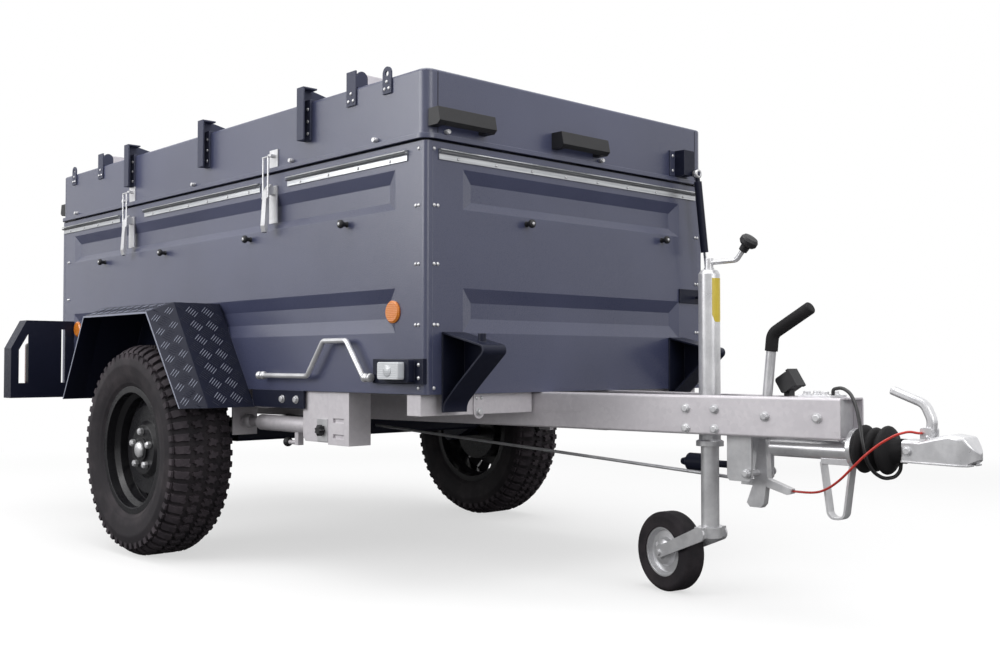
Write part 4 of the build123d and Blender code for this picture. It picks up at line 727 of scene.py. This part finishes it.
chassisBolts = []
for side in (-1, 1):
    chassisBolts += [beamSpot(back, z, side) for back, z in beamBolts]
    chassisBolts += [((x, side * out, z), (0, side, 0), turn) for x, out, z, turn in sideBolts]
    chassisBolts.append(((tieFace, side * tie["across"], tie["foot"]), (1, 0, 0), 0.2))
    for back in nosePlate["backs"]:
        place = (noseX - back, side * nosePlate["half"], nosePlate["z"])
        chassisBolts.append((place, (0, 0, 1), nosePlate["turn"]))
settle(scatter("chassisBolts", boltShape, finishes["zinc"], chassisBolts), "chassis")
print("fasteners made")

# Five-bar chequer on the mudguards: raised bars in cells that alternate, on each panel and its chamfer; bars
# of the cells that run down the panel get a pale painted highlight colour, the others keep the black coat
chequer = {"cell": 0.041, "bars": 5, "pitch": 0.0083, "length": 0.034, "width": 0.0027, "rise": 0.0012,
           "sunk": 0.0003, "crest": 0.35, "shoulder": 0.6, "tip": 0.2, "inset": 0.012}
diagonal = 0.5 ** 0.5
guardCrease = ((-1.88, 0.521), (-1.69, 0.863), (-1.132, 0.863), (-0.89, 0.513))  # from boxFront, and height
guardLip = ((-1.856, 0.521), (-1.671, 0.829), (-1.157, 0.829), (-0.915, 0.513))
guardCreaseOut = 0.17  # out from the box
guardLipOut = 0.255
guardEdges = ((0, guardCrease), (guardCreaseOut, guardCrease), (guardLipOut, guardLip))
barPoints = []
for height, scale in ((-chequer["sunk"], 1), (chequer["rise"], chequer["crest"])):
    tip = chequer["length"] / 2 * scale ** chequer["tip"]
    shoulder = chequer["length"] / 2 * chequer["shoulder"]
    wide = chequer["width"] / 2 * scale
    barPoints += [(-tip, 0, height), (-shoulder, -wide, height), (shoulder, -wide, height),
                  (tip, 0, height), (shoulder, wide, height), (-shoulder, wide, height)]
barShape = meshFrom("chequerBar", barPoints, walls(6) + [tuple(range(6, 12))])
bars = {True: [], False: []}  # by whether a cell's bars run down the panel towards its outer edge


def guardSpot(edge, corner, side):
    out, line = edge
    return Vector((boxFront + line[corner][0], side * (half + out), line[corner][1]))


def cellBars(row, column, lengthwise):  # middles of one cell's bars, from the middle of the panel
    for bar in range(chequer["bars"]):
        shift = (bar - (chequer["bars"] - 1) / 2) * chequer["pitch"]
        first = (row + 0.5) * chequer["cell"] + (0 if lengthwise else shift)
        second = (column + 0.5) * chequer["cell"] + (shift if lengthwise else 0)
        yield (first - second) * diagonal, (first + second) * diagonal


def chequerPanel(side, inner, outer, corner):
    rearIn, frontIn = guardSpot(inner, corner, side), guardSpot(inner, corner + 1, side)
    rearOut, frontOut = guardSpot(outer, corner, side), guardSpot(outer, corner + 1, side)
    run = (frontIn - rearIn + frontOut - rearOut) / 2
    across = (rearOut - rearIn + frontOut - frontIn) / 2
    length, depth = run.length, across.length
    facing = (run.cross(across) * side).normalized()
    level = Vector((0, 0, 1)).rotation_difference(facing) @ Vector((1, 0, 0))
    reach = int((length + depth) / chequer["cell"]) + 1
    for row in range(-reach, reach):
        for column in range(-reach, reach):
            lengthwise = (row + column) % 2 == 0
            way = run / length + across / depth * (1 if lengthwise else -1)
            turn = atan2(facing.dot(level.cross(way)), level.dot(way))
            for travel, out in cellBars(row, column, lengthwise):
                if min(length / 2 - abs(travel), depth / 2 - abs(out)) > chequer["inset"]:
                    share = 0.5 + travel / length
                    place = rearIn.lerp(frontIn, share).lerp(rearOut.lerp(frontOut, share), 0.5 + out / depth)
                    bars[lengthwise].append((tuple(place), tuple(facing), turn))


for side in (-1, 1):
    for inner, outer in zip(guardEdges, guardEdges[1:]):
        for corner in range(3):
            chequerPanel(side, inner, outer, corner)
# bars that run down the panel are pale: painted highlight; the rest keep the black coat
settle(scatter("chequerBarsDark", barShape, finishes["black_coat"], bars[False]), "chassis")
settle(scatter("chequerBarsBright", barShape, finishes["chequer"], bars[True]), "chassis")
print("chequer bars:", len(bars[True]) + len(bars[False]))

# Outer edge of the mudguards' lip: a strip in the pale chequer colour, a painted highlight
lipEdge = {"wide": 0.006, "mitre": 0.6, "sunk": 0.0004, "proud": 0.0008}
lipShifts = ((1, 0), (lipEdge["mitre"], -1), (-lipEdge["mitre"], -1), (-1, 0))
for word, side in bothSides:
    points = []
    for out in (guardLipOut - lipEdge["sunk"], guardLipOut + lipEdge["proud"]):
        for wide in (0, lipEdge["wide"]):
            for (x, z), (shiftX, shiftZ) in zip(guardLip, lipShifts):
                points.append((boxFront + x + shiftX * wide, side * (half + out), z + shiftZ * wide))
    faces = [(0, 8, 12, 4), (3, 7, 15, 11)]
    for step in range(3):
        faces += [(8 + step, 9 + step, 13 + step, 12 + step), (step, 4 + step, 5 + step, 1 + step)]
        faces += [(step, 1 + step, 9 + step, 8 + step), (4 + step, 12 + step, 13 + step, 5 + step)]
    if side < 0:
        faces = [face[::-1] for face in faces]
    piece = bpy.data.objects.new(f"guardEdge_{word}", meshFrom("guardEdge", points, faces))
    # pale chequer colour on the strip: painted highlight
    settle(piece, "chassis", material=finishes["chequer"])

# Clamp plates with star knobs on the support legs' mounts, and the dark balls of their pulls
clamp = {"x": boxFront - 0.51, "half": 0.028, "y": 0.612, "sheet": 0.003, "sunk": 0.0005, "low": 0.418,
         "high": 0.487, "knobZ": 0.452}
starKnob = {"points": 7, "outer": 0.0175, "inner": 0.0125, "levels": ((0.002, 1), (0.018, 1), (0.022, 0.8))}
pullBall = {"x": boxFront - 0.766, "y": 0.575, "z": 0.402, "radius": 0.0157, "steps": 10}
ballOutline = []
for step in range(pullBall["steps"] + 1):
    angle = tau / 2 * step / pullBall["steps"]
    ballOutline.append((pullBall["radius"] * sin(angle), -pullBall["radius"] * cos(angle)))


def knobMesh(middle):
    count = 2 * starKnob["points"]
    points = []
    for height, scale in starKnob["levels"]:
        for step in range(count):
            radius = scale * (starKnob["inner"] if step % 2 else starKnob["outer"])
            angle = tau * step / count
            points.append((radius * cos(angle), middle + radius * sin(angle), height))
    caps = [tuple(range(2 * count, 3 * count)), tuple(range(count))[::-1]]
    return meshFrom("clampKnob", points, walls(count) + walls(count, count) + caps)


for word, side in bothSides:
    facing = facingOut(clamp["x"], clamp["y"], 0, side)
    low, high = sorted((-side * clamp["low"], -side * clamp["high"]))
    wide = clamp["half"]
    outline = [(-wide, low), (wide, low), (wide, high), (-wide, high)]
    plate = prism("clampPlate", outline, (-clamp["sunk"], clamp["sheet"]))
    shaped(f"clampPlate_{word}", plate, "chassis", "zinc", facing)
    shaped(f"clampKnob_{word}", knobMesh(-side * clamp["knobZ"]), "chassis", "black_plastic", facing)
    spot = Matrix.Translation((pullBall["x"], side * pullBall["y"], pullBall["z"]))
    ball = lathe("pullBall", ballOutline, 20)
    shaped(f"pullBall_{word}", ball, f"support_leg_{word}", "black_plastic", spot)

# Rubber seal on the rim of the box
seal = {"inset": 0.004, "wide": 0.014, "low": 1.2708, "high": 1.2745}
points, faces = [], []
for z in (seal["low"], seal["high"]):
    for inset in (seal["inset"], seal["inset"] + seal["wide"]):
        rear, front, side = boxRear + inset, boxFront - inset, half - inset
        points += [(rear, -side, z), (front, -side, z), (front, side, z), (rear, side, z)]
for step in range(4):
    after = (step + 1) % 4
    faces += [(step, after, 8 + after, 8 + step), (4 + after, 4 + step, 12 + step, 12 + after)]
    faces += [(8 + step, 8 + after, 12 + after, 12 + step), (after, step, 4 + step, 4 + after)]
shaped("rimSeal", meshFrom("rimSeal", points, faces), "chassis", "rubber")

# Plain label on the front of the jockey tube, its lower corners cut off
label = {"x": 1.1615, "radius": 0.0303, "low": 0.772, "high": 0.894, "spread": 0.68, "steps": 12, "cut": 0.02,
         "cutFrom": 0.6}
points, faces = [], []
for step in range(label["steps"] + 1):
    angle = label["spread"] * (2 * step / label["steps"] - 1)
    x = label["x"] + label["radius"] * cos(angle)
    y = label["radius"] * sin(angle)
    corner = max(0, abs(angle) / label["spread"] - label["cutFrom"]) / (1 - label["cutFrom"])
    points += [(x, y, label["low"] + label["cut"] * corner), (x, y, label["high"])]
    if step:
        faces.append((2 * step - 2, 2 * step, 2 * step + 1, 2 * step - 1))
shaped("jockeyLabel", meshFrom("jockeyLabel", points, faces, True), "chassis", "label")

# Tie plates under the front of the box, round at the foot
for word, side in bothSides:
    middle = side * tie["across"]
    outline = [(middle + tie["half"], tie["top"]), (middle - tie["half"], tie["top"])]
    for step in range(tie["steps"] + 1):
        angle = tau / 2 * (1 + step / tie["steps"])
        outline.append((middle + tie["half"] * cos(angle), tie["foot"] + tie["half"] * sin(angle)))
    plate = prism("tiePlate", outline, (tie["x"], tieFace), alongX=True)
    shaped(f"tiePlate_{word}", plate, "chassis", "galvanised")

# Domed centres of the front lamps
lampDome = {"x": boxFront - 0.0955, "y": 0.683, "z": 0.6365}
domeOutline = [(0, 0), (0.017, 0), (0.0165, 0.0014), (0.0125, 0.0014), (0.009, 0.003), (0, 0.0038)]
for word, side in bothSides:
    facing = facingOut(lampDome["x"], lampDome["y"], lampDome["z"], side)
    shaped(f"lampDome_{word}", lathe("lampDome", domeOutline, 28), "chassis", "clear_lens", facing)

# End sleeves of the stowed crank
crankEnds = {"rear": (boxFront - 0.823, 0.618, 90), "front": (boxFront - 0.211, 0.616, -90)}
crankOut = 0.026
sleeveOutline = [(0, 0), (0.0115, 0), (0.013, 0.002), (0.013, 0.008), (0.0105, 0.01), (0.0105, 0.022),
                 (0.013, 0.024), (0.013, 0.034), (0.0085, 0.036), (0.0085, 0.04)]
for word, (x, z, turn) in crankEnds.items():
    spot = facingAhead(x, -half - crankOut, z, turn)
    shaped(f"crankSleeve_{word}", lathe("crankSleeve", sleeveOutline, 20), "chassis", "zinc", spot)

# Bellows with three soft folds, in the envelope of its solid
bellows = {"axisZ": 0.446, "start": 0.019, "end": 0.142, "valley": 0.037, "collar": 0.03, "collarFrom": 0.117,
           "steps": 10, "fullness": 0.8, "facets": 48}
bellowsFolds = ((0.02, 0.05, 0.0598), (0.05, 0.078, 0.0545), (0.078, 0.112, 0.0598))  # start, end, radius
profile = [(0, bellows["start"]), (bellows["valley"], bellows["start"])]
for start, end, peak in bellowsFolds:
    for step in range(bellows["steps"]):
        share = step / bellows["steps"]
        swell = (peak - bellows["valley"]) * sin(tau / 2 * share) ** bellows["fullness"]
        profile.append((bellows["valley"] + swell, start + (end - start) * share))
profile += [(bellows["valley"], bellowsFolds[-1][1]), (bellows["collar"], bellows["collarFrom"])]
profile += [(bellows["collar"], bellows["end"]), (0, bellows["end"])]
skin = lathe("bellowsSkin", profile, bellows["facets"])
skin = shaped("bellowsSkin", skin, "chassis", "rubber", facingAhead(noseX, 0, bellows["axisZ"]))
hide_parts("bellows")

# Folded brackets behind the gas springs' upper studs, and the bright sleeves of their eyes
gasBracket = {"low": 1.294, "high": 1.38, "sleeveZ": 1.301, "sleeveOut": 0.06}
gasFold = ((0.0055, -0.052), (0.046, -0.052), (0.046, 0.006), (0.042, 0.006), (0.042, -0.048),
           (0.0055, -0.048))  # out from the box, and across from the stud
gasSleeve = [(0.0075, -0.0086), (0.0146, -0.0086), (0.0146, 0.0086), (0.0075, 0.0086)]
for word, end, facing in bothEnds:
    outline = [(end + facing * out, gasY + across) for out, across in gasFold[::facing]]
    bracket = prism("gasBracket", outline, (gasBracket["low"], gasBracket["high"]))
    shaped(f"gasBracket_{word}", bracket, "lid", "black_coat")
    spot = facingAhead(end + facing * gasBracket["sleeveOut"], gasY, gasBracket["sleeveZ"])
    sleeve = lathe("gasSleeve", gasSleeve, 28, closed=True)
    shaped(f"gasSleeve_{word}", sleeve, f"gas_cylinder_{word}", "zinc", spot)

# Pale zinc tips on the tent knobs: a painted highlight where the dark knobs catch the light
knobTips = {"z": 1.07, "out": 0.0298, "shares": (0.823, 0.6111, 0.3663, 0.1472), "across": (-0.381, 0.637)}
tipShape = lathe("knobTip", [(0, 0), (0.0056, 0), (0.005, 0.0008), (0, 0.0012)], 12)
tips = []
for side in (-1, 1):
    for share in knobTips["shares"]:
        tips.append(((along(share), side * (half + knobTips["out"]), knobTips["z"]), (0, side, 0), 0))
for word, end, facing in bothEnds:
    for share in knobTips["across"]:
        tips.append(((end + facing * knobTips["out"], share * half, knobTips["z"]), (facing, 0, 0), 0))
settle(scatter("knobTips", tipShape, finishes["zinc"], tips), "chassis")

# Seams of the lid's front corners
lidSeam = {"in": 0.043, "half": 0.0011, "low": 1.2915, "high": 1.466, "sunk": 0.0004, "proud": 0.0004}
for word, side in bothSides:
    right, left = [side * (half - lidSeam["in"]) + shift for shift in (-lidSeam["half"], lidSeam["half"])]
    low, high = lidSeam["low"], lidSeam["high"]
    outline = [(right, low), (left, low), (left, high), (right, high)]
    seam = prism("lidSeam", outline, (boxFront - lidSeam["sunk"], boxFront + lidSeam["proud"]), alongX=True)
    shaped(f"lidSeam_{word}", seam, "lid", "rubber")
print("small trim made")

# Studio: white surround, pale floor that keeps the shadow, three soft lamps
studio = {"worldLight": 0.62, "floorSize": 30, "floorPale": 0.93, "floorBounce": 0.2, "floorGloss": 0.1,
          "shadowLift": 0.6, "fadeFrom": 3.2, "fadeTo": 5.5}
lamps = {
    "skyLamp": {"place": (0.3, -0.5, 5.0), "target": (0, 0, 0.6), "size": (6, 4), "power": 190},
    "sideLamp": {"place": (-2.2, -5.0, 2.6), "target": (-0.4, 0, 0.7), "size": (4, 2.4), "power": 150},
    "frontLamp": {"place": (5.5, -0.6, 2.2), "target": (0.5, 0, 0.7), "size": (2.4, 2.2), "power": 60},
}
white = (1, 1, 1, 1)

world = bpy.data.worlds.new("studioWorld")
bpy.context.scene.world = world
world.use_nodes = True
surround = world.node_tree
surround.nodes.clear()
rays = addNode(surround, "ShaderNodeLightPath")
seen = Value(surround, rays.outputs["Is Camera Ray"])
for kind in ("Is Glossy Ray", "Is Transmission Ray"):
    seen = seen + Value(surround, rays.outputs[kind])
strength = studio["worldLight"] + seen * (1 - studio["worldLight"])
background = addNode(surround, "ShaderNodeBackground", None, {"Color": white, "Strength": strength})
addNode(surround, "ShaderNodeOutputWorld", None, {0: background.outputs[0]})

reach = studio["floorSize"]
floorCorners = [(-reach, -reach, 0), (reach, -reach, 0), (reach, reach, 0), (-reach, reach, 0)]
floorMesh = meshFrom("studioFloor", floorCorners, [(0, 1, 2, 3)])
floor = bpy.data.objects.new("studioFloor", floorMesh)
bpy.context.scene.collection.objects.link(floor)
look = Finish("studioFloor")
rays = look.add("ShaderNodeLightPath")
seen = Value(look.tree, rays.outputs["Is Camera Ray"])
mirrored = Value(look.tree, rays.outputs["Is Glossy Ray"])
pale, bounce, gloss = [(studio[key],) * 3 + (1,) for key in ("floorPale", "floorBounce", "floorGloss")]
shade = look.blend(seen, look.blend(mirrored, bounce, gloss), pale)
matt = look.add("ShaderNodeBsdfDiffuse", None, {"Color": shade})
glow = look.add("ShaderNodeEmission", None, {"Color": white, "Strength": 1.0})
away = look.add("ShaderNodeVectorMath", {"operation": "LENGTH"}, {0: look.place})
distance = Value(look.tree, away.outputs["Value"])
fade = look.ramp(distance, studio["fadeFrom"], studio["fadeTo"], studio["shadowLift"], 1)
mixed = look.add("ShaderNodeMixShader", None, {0: fade * seen, 1: matt.outputs[0], 2: glow.outputs[0]})
look.add("ShaderNodeOutputMaterial", None, {0: mixed.outputs[0]})
floorMesh.materials.append(look.material)


def softLamp(name, place, target, size, power):
    data = bpy.data.lights.new(name, "AREA")
    data.shape = "RECTANGLE"
    data.size, data.size_y = size
    data.energy = power
    lamp = bpy.data.objects.new(name, data)
    aim = (Vector(target) - Vector(place)).to_track_quat("-Z", "Y")
    lamp.matrix_world = Matrix.Translation(place) @ aim.to_matrix().to_4x4()
    bpy.context.scene.collection.objects.link(lamp)


for name, lamp in lamps.items():
    softLamp(name, **lamp)
print("studio set")

# Camera at the photograph's place
view = {"place": (3.0138, -2.5328, 0.6601), "yaw": 136.914, "pitch": 1.546, "lens": 39.77, "sensor": 36}

yaw = radians(view["yaw"])
pitch = radians(view["pitch"])
ahead = Vector((cos(yaw) * cos(pitch), sin(yaw) * cos(pitch), sin(pitch)))
side = Vector((sin(yaw), -cos(yaw), 0))
above = side.cross(ahead)
cameraData = bpy.data.cameras.new("photoCamera")
cameraData.lens = view["lens"]
cameraData.sensor_width = view["sensor"]
cameraData.sensor_fit = "HORIZONTAL"
camera = bpy.data.objects.new("photoCamera", cameraData)
turn = Matrix((side, above, -ahead)).transposed().to_4x4()
camera.matrix_world = Matrix.Translation(view["place"]) @ turn
bpy.context.scene.collection.objects.link(camera)
bpy.context.scene.camera = camera
bpy.context.scene.view_settings.view_transform = "Standard"
print("camera set")
